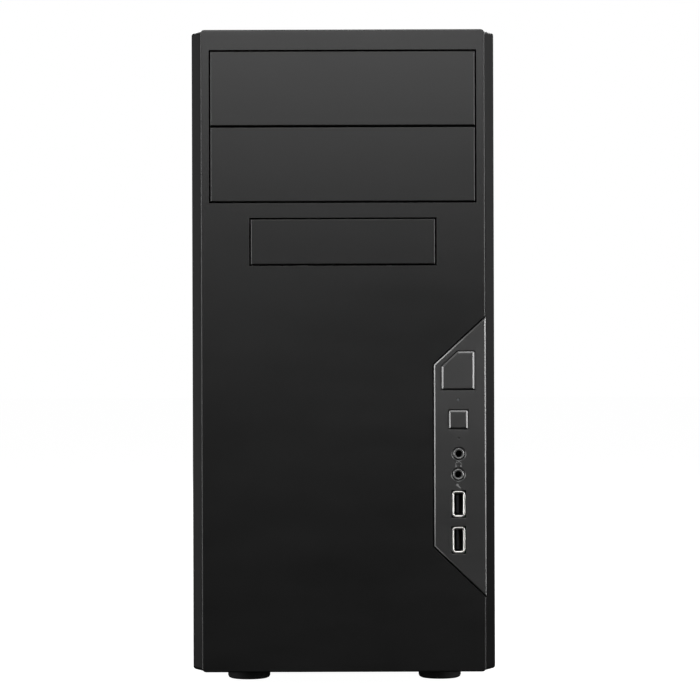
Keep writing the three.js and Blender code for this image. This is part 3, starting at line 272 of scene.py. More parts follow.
galvanised = metal("galvanised_steel_sheet", "#c4c6c7", 0.45, 5, 0.04)  # zinc spangle
brushed_sheet = metal("brushed_zinc_steel", "#c0c1c2", 0.36, 5, 0.05, streak=(1, 1, 0.04))  # shield, supply
nickel = metal("bright_nickel_plate", "#f2f0ec", 0.32, 2, 0.03)  # sockets, screws, wire guard
gold_plate = metal("gold_plated_contact", "#e0b45c", 0.25, 1, 0.04)  # flash gold on the contacts
aluminium = metal("extruded_aluminium", "#c6c8ca", 0.32, 3, 0.04, streak=(0.05, 1, 1))  # cooler, drive
print("made the metals")

# %% [markdown]
# The circuit board is green solder mask over woven glass and copper. Copper tracks lie under the mask, so
# they show as slightly raised, slightly lighter lines on a grid. The light pipe is clear polycarbonate.

# %% Board and light pipe
def circuit_board():
    made, tree = new_material("green_solder_mask")
    place = add(tree, "ShaderNodeTexCoord")
    tracks = add(tree, "ShaderNodeTexBrick", {
        "Vector": place.outputs["Object"], "Color1": (0, 0, 0, 1), "Color2": (0.4, 0.4, 0.4, 1),
        "Mortar": (1, 1, 1, 1), "Scale": 1 / (8 * MM), "Mortar Size": 0.03, "Brick Width": 0.9,
        "Row Height": 0.35})
    tint = add(tree, "ShaderNodeMix", {
        "Factor": tracks.outputs["Color"], "A": colour("#0f3a26"), "B": colour("#1c5a3b")},
        data_type="RGBA")
    bump = add(tree, "ShaderNodeBump", {"Height": tracks.outputs["Color"], "Distance": 0.03 * MM})
    skin = add(tree, "ShaderNodeBsdfPrincipled", {
        "Base Color": tint.outputs["Result"], "Roughness": 0.34, "Normal": bump.outputs["Normal"],
        "IOR": 1.5})
    add(tree, "ShaderNodeOutputMaterial", {"Surface": skin.outputs[0]})
    return made


solder_mask = circuit_board()
clear_plastic, tree = new_material("frosted_polycarbonate")  # the power light's pipe, unlit
place = add(tree, "ShaderNodeTexCoord")
haze = add(tree, "ShaderNodeTexNoise", {
    "Vector": place.outputs["Object"], "Scale": 1 / (0.3 * MM), "Detail": 2})
frost = add(tree, "ShaderNodeMapRange", {"Value": haze.outputs["Fac"], "To Min": 0.25, "To Max": 0.4})
skin = add(tree, "ShaderNodeBsdfPrincipled", {
    "Base Color": colour("#5d6165"), "Roughness": frost.outputs["Result"], "IOR": 1.58,
    "Transmission Weight": 0.4})
add(tree, "ShaderNodeOutputMaterial", {"Surface": skin.outputs[0]})
print("made the board and the light pipe")

# %% [markdown]
# Every plain solid gets its finish here. Most are later stood for by a finer piece, and the ones that
# stay get their sharp edges broken in the last step.

# %% Finishes on the solids
FINISH = {
    "satin_black_plastic": satin_abs, "matt_black_plastic": fan_plastic, "black_painted_steel": powder_coat,
    "zinc_coated_steel": galvanised, "nickel_plated_steel": nickel, "aluminium": aluminium,
    "circuit_board": solder_mask, "rubber": foot_rubber, "clear_plastic": clear_plastic,
    "cable_sleeve": cable_sleeve, "red_cable": red_sleeve,
}
slot_of = {entry["node"]: entry["material_slot"] for entry in frame["record"]["subparts"]}
piece_slot = {material.name: slot for slot, material in FINISH.items()}
for material in (socket_plastic, latch_nylon, grey_nylon, jack_ring, icon_ink, panel_lacquer):
    piece_slot[material.name] = "matt_black_plastic"
piece_slot[gold_plate.name] = "nickel_plated_steel"
for name, node in nodes.items():
    node.data.materials.clear()
    node.data.materials.append(FINISH[slot_of[name]])
for name in ("psu_case", "psu_cover", "io_shield"):
    nodes[name].data.materials[0] = brushed_sheet
print("finishes on", len(nodes), "solids")
# %% [markdown]
# ## Modelling by hand
# Every new piece starts as a primitive of its real size, is shaped in edit mode, and is finished with
# modifiers. These helpers stand for the few moves that come again and again: choose a piece, choose faces
# or edges by where they are, cut with another solid, and soften edges.

# %% Start shapes
def mm(point):
    return [v * MM for v in point]


def deselect():
    bpy.ops.object.select_all(action="DESELECT")


def use(piece):
    deselect()
    piece.select_set(True)
    bpy.context.view_layer.objects.active = piece


def placed(name):
    bpy.ops.object.transform_apply(location=True, rotation=True, scale=True)
    piece = bpy.context.object
    piece.name = name
    piece.data.name = name
    return piece


def block(name, low, high):
    deselect()
    size = [b - a for a, b in zip(low, high)]
    middle = [(a + b) / 2 for a, b in zip(low, high)]
    bpy.ops.mesh.primitive_cube_add(size=1, location=middle, scale=size)
    return placed(name)


def rod(name, start, end, radius, sides=32, end_radius=None):
    start, end = Vector(start), Vector(end)
    deselect()
    bpy.ops.mesh.primitive_cone_add(
        vertices=sides, radius1=radius, radius2=radius if end_radius is None else end_radius,
        depth=(end - start).length, location=(start + end) / 2,
        rotation=(end - start).to_track_quat("Z", "Y").to_euler())
    return placed(name)


# %% Choosing, cutting and softening
def pick(piece, kind, test):
    """Leaves the piece in edit mode with only the faces, edges or corners chosen that pass the test."""
    use(piece)
    bpy.ops.object.mode_set(mode="EDIT")
    bpy.ops.mesh.select_mode(type=kind)
    bpy.ops.mesh.select_all(action="DESELECT")
    bpy.ops.object.mode_set(mode="OBJECT")
    mesh = piece.data
    if kind == "FACE":
        for face in mesh.polygons:
            face.select = test(face.center, face.normal)
    elif kind == "EDGE":
        for edge in mesh.edges:
            edge.select = test(*(mesh.vertices[i].co for i in edge.vertices))
    else:
        for vertex in mesh.vertices:
            vertex.select = test(vertex.co)
    bpy.ops.object.mode_set(mode="EDIT")


def shaped():
    bpy.ops.object.mode_set(mode="OBJECT")


def modify(piece, kind, **settings):
    use(piece)
    modifier = piece.modifiers.new(kind.lower(), kind)
    for key, value in settings.items():
        setattr(modifier, key, value)
    bpy.ops.object.modifier_apply(modifier=modifier.name)
    return piece


def combine(piece, others, operation):
    for other in others:
        modify(piece, "BOOLEAN", object=other, operation=operation, solver="EXACT")
        bpy.data.objects.remove(other)
    return piece


def cut(piece, *cutters):
    return combine(piece, cutters, "DIFFERENCE")


def fuse(piece, *others):
    return combine(piece, others, "UNION")


def gather(piece, *others):
    """Joins separate solids into one object without welding them."""
    deselect()
    for other in others:
        other.select_set(True)
    piece.select_set(True)
    bpy.context.view_layer.objects.active = piece
    bpy.ops.object.join()
    return piece


def soften(piece, width, segments=2, angle=40):
    return modify(piece, "BEVEL", width=width, segments=segments, limit_method="ANGLE",
                  angle_limit=math.radians(angle), miter_outer="MITER_ARC")


def bevel_edges(piece, test, width, segments=3):
    pick(piece, "EDGE", test)
    bpy.ops.mesh.bevel(offset=width, segments=segments, affect="EDGES")
    shaped()
    return piece


def hollow(piece, facing, wall, depth):
    """Insets the faces that look along facing, a sign of Y, and pushes them in."""
    pick(piece, "FACE", lambda centre, normal: normal.y * facing > 0.9)
    bpy.ops.mesh.inset(thickness=wall)
    bpy.ops.mesh.extrude_region_move(TRANSFORM_OT_translate={"value": (0, -facing * depth, 0)})
    shaped()


def chamfer_face(piece, y, width):
    """Puts a flat chamfer, about 33 degrees from the face, round the front face that lies at y."""
    bevel_edges(piece, lambda a, b: max(abs(a.y - y), abs(b.y - y)) < 0.01 * MM, width, 1)
    pick(piece, "VERT", lambda co: abs(co.y - y - width) < 0.12 * width)
    bpy.ops.transform.translate(value=(0, -0.35 * width, 0))
    shaped()


def dress(piece, material):
    """Smooths a finished piece, keeps its flat faces flat, and gives it its material."""
    use(piece)
    bpy.ops.object.shade_smooth_by_angle(angle=math.radians(32))
    modify(piece, "WEIGHTED_NORMAL", weight=100, keep_sharp=True)
    piece.data.materials.clear()
    piece.data.materials.append(material)
    return piece


def show(piece, material, body, stands_for=()):
    """Dresses a finished piece, joins it to the body that it moves with and hides the solids it stands for.
    """
    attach(dress(piece, material), body)
    if stands_for:
        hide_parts(*stands_for)
    return piece


# %% Outlines on the front face
def hull_of(node, y):
    """The outer corners of a solid on the plane at that depth, anticlockwise seen from the front."""
    flat = {(round(v.co.x, 6), round(v.co.z, 6)) for v in nodes[node].data.vertices
            if abs(v.co.y - y) < 0.05 * MM}
    flat = [Vector(point) for point in sorted(flat)]
    ring = [flat[i] for i in mathutils.geometry.convex_hull_2d(flat)]
    corners = []
    for before, here, after in zip(ring[-1:] + ring[:-1], ring, ring[1:] + ring[:1]):
        if abs((here - before).cross(after - here)) > 0.01 * MM * MM:
            corners.append(tuple(here))
    return corners


def grown(outline, distance):
    """Moves each side of an anticlockwise outline outwards by a distance."""
    sides = []
    for (u, v), (next_u, next_v) in zip(outline, outline[1:] + outline[:1]):
        along = Vector((next_u - u, next_v - v)).normalized()
        sides.append((Vector((u + along.y * distance, v - along.x * distance)), along))
    corners = []
    for (p, a), (q, b) in zip(sides[-1:] + sides[:-1], sides):
        step = ((q.x - p.x) * b.y - (q.y - p.y) * b.x) / (a.x * b.y - a.y * b.x)
        corners.append(tuple(p + a * step))
    return corners


def prism(name, outline, front, back):
    deselect()
    bpy.ops.mesh.primitive_circle_add(vertices=len(outline), radius=1, fill_type="NGON")
    piece = placed(name)
    for vertex, (x, z) in zip(piece.data.vertices, outline):
        vertex.co = (x, front, z)
    pick(piece, "FACE", lambda centre, normal: True)
    bpy.ops.mesh.extrude_region_move(TRANSFORM_OT_translate={"value": (0, back - front, 0)})
    bpy.ops.mesh.select_all(action="SELECT")
    bpy.ops.mesh.normals_make_consistent(inside=False)
    shaped()
    return piece


def turned(name, centre, profile, sides=32, axis="Y"):
    """Pulls a ring of points through (radius, place along the axis) steps, as on a lathe."""
    turn = {"X": (0, math.radians(90), 0), "Y": (math.radians(-90), 0, 0), "Z": (0, 0, 0)}[axis]
    across = Vector([0 if letter == axis else 1 for letter in "XYZ"])
    line = Vector([1 if letter == axis else 0 for letter in "XYZ"])
    centre = Vector(centre)
    radius, height = profile[0]
    closed = profile[0] == profile[-1]
    deselect()
    bpy.ops.mesh.primitive_circle_add(
        vertices=sides, radius=radius, fill_type="NOTHING" if closed else "NGON",
        location=centre + line * height, rotation=turn)
    piece = placed(name)
    use(piece)
    bpy.ops.object.mode_set(mode="EDIT")
    bpy.ops.mesh.select_mode(type="VERT")
    bpy.ops.mesh.select_all(action="SELECT")
    for next_radius, next_height in profile[1:]:
        bpy.ops.mesh.extrude_region_move(
            TRANSFORM_OT_translate={"value": line * (next_height - height)})
        scale = next_radius / radius
        bpy.ops.transform.resize(
            value=across * scale + line, center_override=centre + line * next_height)
        radius, height = next_radius, next_height
    bpy.ops.mesh.select_all(action="SELECT")
    bpy.ops.mesh.remove_doubles(threshold=1e-6)
    bpy.ops.mesh.normals_make_consistent(inside=False)
    shaped()
    return piece
# %% [markdown]
# ## The front bezel
# On the real tower this is one large injection moulding: a flat slab that stands forward, and a strip down
# each side that steps back and then slopes out to the side panels. It starts as a block of the slab's
# size. Its back face is widened and pulled back three times, which follows the section of the moulding.

# %% Bezel sizes
WALL = 2.4 * MM
GROOVE = 0.7 * MM
SECTION = [(78.9, 0), (80.0, 6.5), (85.0, 16.0), (85.0, 32.0)]  # half width and depth of the section, in mm
case_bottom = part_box("front_bezel")[0].z
case_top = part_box("front_bezel")[1].z


def bezel_block(name, section, bottom, top):
    (half, start), (_, next_depth) = section[:2]
    piece = block(name, (-half * MM, front_y + start * MM, bottom),
                  (half * MM, front_y + next_depth * MM, top))
    pick(piece, "FACE", lambda centre, normal: normal.y > 0.9)
    previous = half
    for step, (half, depth) in enumerate(section[1:]):
        y = front_y + depth * MM
        if step:
            bpy.ops.mesh.extrude_region_move(
                TRANSFORM_OT_translate={"value": (0, (depth - section[step][1]) * MM, 0)})
        bpy.ops.transform.resize(value=(half / previous, 1, 1), center_override=(0, y, middle_z))
        previous = half
    shaped()
    return piece


# %% Shape the bezel
bezel = bezel_block("front_bezel_moulding", SECTION, case_bottom, case_top)


def at_end(a, b):
    flat = abs(a.z - b.z) < 0.01 * MM and min(abs(a.z - case_bottom), abs(a.z - case_top)) < 0.01 * MM
    return flat and abs(a.y - b.y) > 1 * MM and a.x * b.x > 0


bevel_edges(bezel, at_end, 2.0 * MM, 4)
chamfer_face(bezel, front_y, 0.85 * MM)
sloped_y = front_y + SECTION[2][1] * MM
bevel_edges(bezel, lambda a, b: abs(a.y - sloped_y) < 0.01 * MM and abs(b.y - sloped_y) < 0.01 * MM
            and abs(a.z - b.z) > 100 * MM, 2.0 * MM, 4)
wall = WALL / MM
inner = [(half - wall, depth + 0.5) for half, depth in SECTION]
inner[0] = (inner[0][0], wall)
inner[-1] = (inner[-1][0], 40)
cut(bezel, bezel_block("hollow", inner, case_bottom + WALL, case_top - WALL))
print("bezel shell has", len(bezel.data.polygons), "faces")

# %% [markdown]
# The openings are cut with blocks a groove's width larger than the covers that sit in them, so the dark
# line around every cover is a real gap. Each opening has a collar behind it that guides the cover.

# %% Openings in the bezel
COVERS = ("bay_cover_upper", "bay_cover_lower", "bay_cover_small")


def opening_of(names, margin):
    lows, highs = zip(*(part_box(name) for name in names))
    low = Vector([min(v[i] for v in lows) for i in range(3)])
    high = Vector([max(v[i] for v in highs) for i in range(3)])
    return (low.x - margin, low.z - margin), (high.x + margin, high.z + margin)


for names in (COVERS[:2], COVERS[2:]):
    (x0, z0), (x1, z1) = opening_of(names, GROOVE + 1.5 * MM)
    fuse(bezel, block("collar", (x0, front_y + 1 * MM, z0), (x1, front_y + 13 * MM, z1)))
for names in (COVERS[:2], COVERS[2:]):
    (x0, z0), (x1, z1) = opening_of(names, GROOVE)
    cut(bezel, block("opening", (x0, front_y - 5 * MM, z0), (x1, front_y + 40 * MM, z1)))

panel_outline = hull_of("io_panel", front_y)
seat_outline = grown(panel_outline, GROOVE)
seat_depth = front_y + 6.1 * MM
ledge = prism("ledge", grown(panel_outline, 2.2 * MM), front_y + 1 * MM, seat_depth + 2 * MM)
whole = bezel_block("whole", [(half - 0.3, depth + 0.3) for half, depth in SECTION], case_bottom, case_top)
combine(ledge, [whole], "INTERSECT")
fuse(bezel, ledge)
cut(bezel, prism("seat", seat_outline, front_y - 2 * MM, seat_depth))
cut(bezel, prism("window", grown(panel_outline, -2.4 * MM), front_y - 2 * MM, seat_depth + 8 * MM))
print("panel outline in mm", [(round(x / MM, 1), round(z / MM, 1)) for x, z in panel_outline])

# %% Air intake under the bezel and snap clips behind it
for i in range(7):
    x = (i - 3) * 14 * MM
    cut(bezel, block("intake", (x - 4 * MM, front_y + 12 * MM, case_bottom - 1 * MM),
                     (x + 4 * MM, front_y + 26 * MM, case_bottom + 4 * MM)))
clip_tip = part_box("front_bezel")[1].y
bezel_back = front_y + SECTION[-1][1] * MM


def span(heights, upside_down):
    """A pair of heights above the floor, or the same pair measured down from the top of the case."""
    return [2 * middle_z - h * MM for h in reversed(heights)] if upside_down else [h * MM for h in heights]


for upside_down in (False, True):
    for x in (-36 * MM, 36 * MM):
        x0, x1 = x - 5 * MM, x + 5 * MM
        solids = []
        for heights, y0, y1 in (((13.4, 16), bezel_back - 16 * MM, clip_tip),
                                ((10.2, 16), bezel_back - 16 * MM, bezel_back - 10 * MM),
                                ((12.4, 13.6), clip_tip - 3 * MM, clip_tip - 1.5 * MM)):
            z0, z1 = span(heights, upside_down)
            solids.append(block("clip", (x0, y0, z0), (x1, y1, z1)))
        fuse(bezel, fuse(*solids))
soften(bezel, 0.4 * MM, 2, 50)
show(bezel, satin_abs, "front", ["front_bezel"])
print("finished bezel has", len(bezel.data.polygons), "faces")

# %% [markdown]
# ## Bay covers
# A cover is a shallow tray. From the front only its face and its rounded rim show; behind are the walls
# that stiffen it and two spring arms that hold it. A block gets its back face inset and pushed in.

# %% Bay covers
TRAY_DEPTH = 9 * MM
TRAY_WALL = 1.6 * MM


def bay_cover(node):
    low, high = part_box(node)
    tray_back = front_y + TRAY_DEPTH
    piece = block(node + "_moulding", low, (high.x, tray_back, high.z))
    hollow(piece, 1, TRAY_WALL, TRAY_DEPTH - 2.4 * MM)
    chamfer_face(piece, low.y, 0.6 * MM)
    middle = (low.z + high.z) / 2
    for side in (-1, 1):
        x0, x1 = sorted((side * high.x, side * (high.x - TRAY_WALL)))
        fuse(piece, block("arm", (x0, tray_back - 4 * MM, middle - 6 * MM), (x1, high.y, middle + 6 * MM)))
    for x in (-high.x / 3, high.x / 3):
        fuse(piece, block("rib", (x - 0.6 * MM, low.y + 2 * MM, low.z + 1 * MM),
                          (x + 0.6 * MM, tray_back - 2 * MM, high.z - 1 * MM)))
    soften(piece, 0.25 * MM, 1, 50)
    return show(piece, satin_abs, node_body[node], [node])


for node in COVERS:
    bay_cover(node)
print("made", len(COVERS), "covers")

# %% [markdown]
# ## Connection panel
# The panel is a second moulding, lacquered in a metallic black. Its two slanted ends come from the outline
# of the solid. The holes are cut a little larger than what stands in them.

# %% Connection panel
panel_back = front_y + 2.6 * MM
power_outline = hull_of("power_button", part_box("power_button")[0].y)
reset_outline = hull_of("reset_button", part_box("reset_button")[0].y)
FIT = 0.3 * MM


def centre_of(node):
    low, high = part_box(node)
    return (low + high) / 2


def jack_centre(node):
    low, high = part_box(node)
    return Vector((low.x + 5.2 * MM, front_y, (low.z + high.z) / 2))


led_x, _, led_z = centre_of("power_led")
panel = prism("connection_panel", panel_outline, front_y, front_y + 5.8 * MM)
hollow(panel, 1, 1.4 * MM, 3.2 * MM)
chamfer_face(panel, front_y, 0.8 * MM)
BUTTON_GAP = 0.45 * MM
PINHOLE = (64.3 * MM, 138 * MM)
through = (front_y - 2 * MM, panel_back + 2 * MM)


def drill(x, z, radius, back=through[1], sides=40):
    cut(panel, rod("hole", (x, through[0], z), (x, back, z), radius, sides))


cut(panel, prism("hole", grown(power_outline, BUTTON_GAP), *through))
cut(panel, prism("hole", grown(reset_outline, BUTTON_GAP), *through))
drill(*PINHOLE, 0.4 * MM, front_y + 0.8 * MM, 32)
drill(led_x, led_z, 0.75 * MM, sides=32)
for node in ("headphone_jack", "microphone_jack"):
    centre = jack_centre(node)
    drill(centre.x, centre.z, 3.3 * MM)
    cut(panel, rod("countersink", (centre.x, front_y - 0.2 * MM, centre.z),
                   (centre.x, front_y + 0.8 * MM, centre.z), 4.3 * MM, 40, 3.2 * MM))
for node in ("usb_socket_upper", "usb_socket_lower"):
    low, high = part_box(node)
    cut(panel, block("hole", (low.x - 0.35 * MM, through[0], low.z - 0.3 * MM),
                     (high.x + 0.35 * MM, through[1], high.z + 0.3 * MM)))
soften(panel, 0.3 * MM, 2, 50)
board_low, board_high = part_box("front_io_board")
fuse(panel, block("board_rib", (board_high.x + FIT, panel_back - 0.5 * MM, 74 * MM),
                  (board_high.x + FIT + 1.6 * MM, front_y + 22 * MM, 132 * MM)))
show(panel, panel_lacquer, "front", ["io_panel"])
print("panel has", len(panel.data.polygons), "faces")

# %% [markdown]
# ## Buttons
# Each button stands one millimetre proud. Its corners are rounded, and a flat chamfer runs round its face.
# The chamfer leans so that it mirrors the side boxes, which draws a bright line down each side.

# %% Buttons
def push_button(node, outline, stem):
    low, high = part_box(node)
    cap = prism(node + "_cap", outline, low.y, panel_back + 0.6 * MM)
    bevel_edges(cap, lambda a, b: abs(a.y - b.y) > 1 * MM, 0.7 * MM, 3)
    chamfer_face(cap, low.y, 0.9 * MM)
    flange = prism("flange", grown(outline, 0.8 * MM), panel_back + 0.4 * MM, panel_back + 1.9 * MM)
    centre = (low + high) / 2
    shaft = rod("shaft", (centre.x, panel_back + 1.6 * MM, centre.z), (centre.x, high.y, centre.z), stem)
    fuse(cap, flange, shaft)
    return show(cap, panel_lacquer, node_body[node], [node])


push_button("power_button", power_outline, 2.6 * MM)
push_button("reset_button", reset_outline, 1.9 * MM)

# %% Power light
low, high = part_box("power_led")
light_pipe = turned("power_light_pipe", (led_x, 0, led_z), [
    (0.3 * MM, low.y + 0.1 * MM), (0.6 * MM, low.y + 0.25 * MM), (0.65 * MM, panel_back + 0.4 * MM),
    (1.9 * MM, panel_back + 0.4 * MM), (1.9 * MM, panel_back + 1.5 * MM), (0.8 * MM, panel_back + 1.6 * MM),
    (0.8 * MM, high.y)], 20)
show(light_pipe, clear_plastic, "front", ["power_led"])

# %% [markdown]
# ## Front sockets
# An audio socket shows a ring with a dark bore. A USB socket is a thin folded steel shell with a rolled,
# rounded lip round its mouth. A black liner and a tongue with four gold contacts sit inside it.

# %% Audio sockets
def audio_socket(node):
    low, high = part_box(node)
    centre = jack_centre(node)
    mouth = low.y
    ring = turned(node + "_ring", (centre.x, 0, centre.z), [
        (1.85 * MM, mouth + 13 * MM), (1.85 * MM, mouth + 0.7 * MM), (2.1 * MM, mouth + 0.25 * MM),
        (2.6 * MM, mouth + 0.1 * MM), (3.0 * MM, mouth + 0.35 * MM), (3.15 * MM, mouth + 0.9 * MM),
        (3.15 * MM, mouth + 13 * MM), (1.85 * MM, mouth + 13 * MM)], 40)
    housing = block(node + "_housing", (low.x, panel_back + FIT, low.z), (high.x, high.y, high.z))
    bore_end = (centre.x, mouth + 13.4 * MM, centre.z)
    cut(housing, rod("bore", (centre.x, mouth, centre.z), bore_end, 3.3 * MM))
    soften(housing, 0.3 * MM, 1)
    show(ring, jack_ring, "front")
    return show(housing, socket_plastic, "front", [node])


for node in ("headphone_jack", "microphone_jack"):
    audio_socket(node)


# %% USB sockets
def usb_socket(node):
    low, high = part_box(node)
    centre = (low + high) / 2
    half_x, half_z, mouth = 2.85 * MM, 6.55 * MM, front_y + 0.9 * MM
    shell = block(node + "_shell", (centre.x - half_x, mouth, centre.z - half_z),
                  (centre.x + half_x, high.y, centre.z + half_z))
    hollow(shell, -1, 0.45 * MM, 11.5 * MM)
    outline = [(-3.75, -5.5), (-3.1, -6.8), (-1.9, -7.4), (1.9, -7.4), (3.1, -6.8), (3.75, -5.5),
               (3.75, 5.5), (3.1, 6.8), (1.9, 7.4), (-1.9, 7.4), (-3.1, 6.8), (-3.75, 5.5)]
    outline = [(centre.x + x * MM, centre.z + z * MM) for x, z in outline]
    lip = prism("lip", outline, mouth - 0.6 * MM, mouth + 0.5 * MM)
    cut(lip, prism("mouth", grown(outline, -1.15 * MM), mouth - 1 * MM, mouth + 1 * MM))
    soften(lip, 0.45 * MM, 4, 50)
    gather(shell, lip)
    liner = block(node + "_liner", (centre.x - 2.5 * MM, mouth + 0.2 * MM, centre.z - 6.2 * MM),
                  (centre.x + 2.5 * MM, mouth + 11 * MM, centre.z + 6.2 * MM))
    hollow(liner, -1, 0.3 * MM, 10 * MM)
    show(liner, socket_plastic, "front")
    show(shell, nickel, "front", [node])
    tongue = block(node + "_tongue", (centre.x - 1.2 * MM, front_y + 2.4 * MM, centre.z - 5.2 * MM),
                   (centre.x + 0.3 * MM, front_y + 12 * MM, centre.z + 5.4 * MM))
    soften(tongue, 0.25 * MM, 2)
    show(tongue, grey_nylon, "front")
    strips = []
    for z in (centre.z + (i * 2.6 - 4.5) * MM for i in range(4)):
        strips.append(block("contact", (centre.x + 0.3 * MM, front_y + 4 * MM, z),
                            (centre.x + 0.45 * MM, front_y + 11 * MM, z + 1.2 * MM)))
    contacts = gather(*strips)
    contacts.name = node + "_contacts"
    soften(contacts, 0.04 * MM, 1)
    show(contacts, gold_plate, "front")


for node in ("usb_socket_upper", "usb_socket_lower"):
    usb_socket(node)
print("front sockets are in place")
# %% [markdown]
# ## Printed symbols
# Beside the jacks stand two small pale symbols, a pair of headphones and a microphone. Each is a layer of
# ink with a real thickness, cut from discs and blocks, and it lies on the panel's face.

# %% Symbols
ink_face, ink_back = front_y - 0.03 * MM, front_y + 0.05 * MM
x, z = 64.0 * MM, 123.4 * MM
arc = rod("headphones_symbol", (x, ink_face, z), (x, ink_back, z), 1.75 * MM, 40)
cut(arc, rod("hole", (x, ink_face - MM, z), (x, ink_back + MM, z), 1.4 * MM, 40))
cut(arc, block("lower half", (x - 3 * MM, ink_face - MM, z - 3 * MM),
               (x + 3 * MM, ink_back + MM, z - 0.3 * MM)))
for side in (-1, 1):
    x0, x1 = sorted((x + side * 1.75 * MM, x + side * 1.05 * MM))
    pad = block("pad", (x0, ink_face, z - 1.4 * MM), (x1, ink_back, z - 0.1 * MM))
    gather(arc, bevel_edges(pad, lambda a, b: abs(a.y - b.y) > 0.05 * MM, 0.2 * MM, 2))
show(arc, icon_ink, "front")

x, z = 63.4 * MM, 112.0 * MM
ball = rod("microphone_symbol", (x, ink_face, z), (x, ink_back, z), 0.75 * MM, 28)
handle = prism("handle", [(x + 0.3 * MM, z - 0.9 * MM), (x + 1.9 * MM, z - 2.2 * MM),
                          (x + 2.1 * MM, z - 2.0 * MM), (x + 0.9 * MM, z - 0.3 * MM)], ink_face, ink_back)
gather(ball, handle)
show(ball, icon_ink, "front")
print("symbols printed")

# %% [markdown]
# ## Feet and thumb screws
# Both are turned shapes, given as steps of radius and place along the axis. A foot has a shallow ring
# pressed into its sole. A thumb screw has a knurled rim: every second face round the head is pushed in by a
# third of a millimetre. Its cross slot is cut last.

# %% Feet
FOOT_PROFILE = ((5.5, 1), (6.3, 0.2), (6.8, 0), (10.6, 0), (11.6, 0.5), (12.1, 1.6), (12.1, 6.9),
                (11.5, 7.7), (3, 7.7), (3, 9.3), (4.1, 9.3), (3.6, 10.4), (2, 12.2))
for node in [name for name in nodes if name.startswith("foot_")]:
    low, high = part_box(node)
    centre = ((low.x + high.x) / 2, (low.y + high.y) / 2, 0)
    foot = turned(node + "_moulding", centre, [mm(step) for step in FOOT_PROFILE], 40, "Z")
    show(foot, foot_rubber, "case", [node])

# %% Thumb screws
SCREW_PROFILE = ((4.6, 0), (5.5, 0.25), (5.9, 0.8), (5.9, 5), (5.3, 5.6), (4.4, 6), (1.75, 6.1),
                 (1.75, 13.2), (1.2, 13.7))
for node in [name for name in nodes if name.startswith("thumb_screw_")]:
    low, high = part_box(node)
    x, z, end = (low.x + high.x) / 2, (low.z + high.z) / 2, high.y
    profile = [(radius * MM, end - back * MM) for radius, back in SCREW_PROFILE]
    screw = turned(node + "_turned", (x, 0, z), profile, 40)

    def every_other(centre, normal):
        turn = math.degrees(math.atan2(centre.z - z, centre.x - x)) % 18
        return abs(normal.y) < 0.1 and end - 5 * MM < centre.y < end - 0.8 * MM and turn < 9

    pick(screw, "FACE", every_other)
    bpy.ops.mesh.inset(thickness=0.12 * MM, use_individual=True)
    bpy.ops.transform.shrink_fatten(value=-0.35 * MM)
    shaped()
    for dx, dz in ((3.2, 0.6), (0.6, 3.2)):
        cut(screw, block("slot", (x - dx * MM, end - 1.6 * MM, z - dz * MM),
                         (x + dx * MM, end + 1 * MM, z + dz * MM)))
    show(screw, nickel, node_body[node], [node])
print("feet and thumb screws are done")

# %% [markdown]
# ## Fan rotors
# A rotor is a cup with a rounded rim and a set of thin blades. One blade starts as a flat block divided
# into slices, and each slice is turned a little less than the one nearer the hub, so the blade twists.
# The rotor of the power supply faces down, the other two face along the case.

# %% Fan rotors
def fan_rotor(node, axis, hub, blades):
    low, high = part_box(node)
    index = "XYZ".index(axis)
    depth = high[index] - low[index]
    tip = (high[(index + 1) % 3] - low[(index + 1) % 3]) / 2 - 0.3 * MM
    rotor = turned(node + "_moulding", (0, 0, 0), [
        (hub * 0.55, 0), (hub * 0.6, 0.5 * MM), (hub - 2.2 * MM, 0.5 * MM), (hub - 0.8 * MM, 1.0 * MM),
        (hub - 0.1 * MM, 2.2 * MM), (hub - 0.1 * MM, depth), (hub - 1.6 * MM, depth),
        (hub - 1.6 * MM, depth - 3 * MM)], 48, "Z")
    chord = (depth - 2 * MM) / 0.74
    blade = block("blade", (hub - 1 * MM, -chord / 2, -0.75 * MM), (tip, chord / 2, 0.75 * MM))
    pick(blade, "EDGE", lambda a, b: abs(a.x - b.x) > 1 * MM)
    bpy.ops.mesh.subdivide(number_cuts=5)
    shaped()
    for step in range(7):
        at = hub - 1 * MM + step * (tip - hub + 1 * MM) / 6
        pick(blade, "VERT", lambda co: abs(co.x - at) < 0.5 * MM)
        bpy.ops.transform.rotate(
            value=math.radians(48 - 3.5 * step), orient_axis="X", center_override=(at, 0, 0))
        shaped()
    soften(blade, 0.35 * MM, 2, 50)
    centre = (0, 0, depth / 2)
    copies = []
    for i in range(blades):
        copy = blade.copy()
        copy.data = blade.data.copy()
        bpy.context.collection.objects.link(copy)
        copy.location = centre
        copy.rotation_euler = (0, 0, math.radians(i * 360 / blades))
        use(copy)
        bpy.ops.object.transform_apply(location=True, rotation=True, scale=True)
        copies.append(copy)
    bpy.data.objects.remove(blade)
    gather(rotor, *copies)
    turn = {"X": (0, 90, 0), "Y": (-90, 0, 0), "Z": (180, 0, 0)}[axis]
    rotor.rotation_euler = [math.radians(angle) for angle in turn]
    place = (low + high) / 2
    place[index] = high.z if axis == "Z" else low[index]
    rotor.location = place
    use(rotor)
    bpy.ops.object.transform_apply(location=True, rotation=True, scale=True)
    show(rotor, fan_plastic, node_body[node], [node])


fan_rotor("rear_fan_rotor", "Y", 18 * MM, 7)
fan_rotor("cpu_fan_rotor", "X", 17 * MM, 7)
fan_rotor("psu_fan_rotor", "Z", 21 * MM, 9)
print("rotors are done")

# %% [markdown]
# ## Motherboard
# The plain board solid is rebuilt as separate fittings, each in its own material: the board, black slots
# with a keyed groove, white plug sockets, a finned chipset cooler, capacitors, and the ports that look
# out of the back. Nothing on it is lettered.

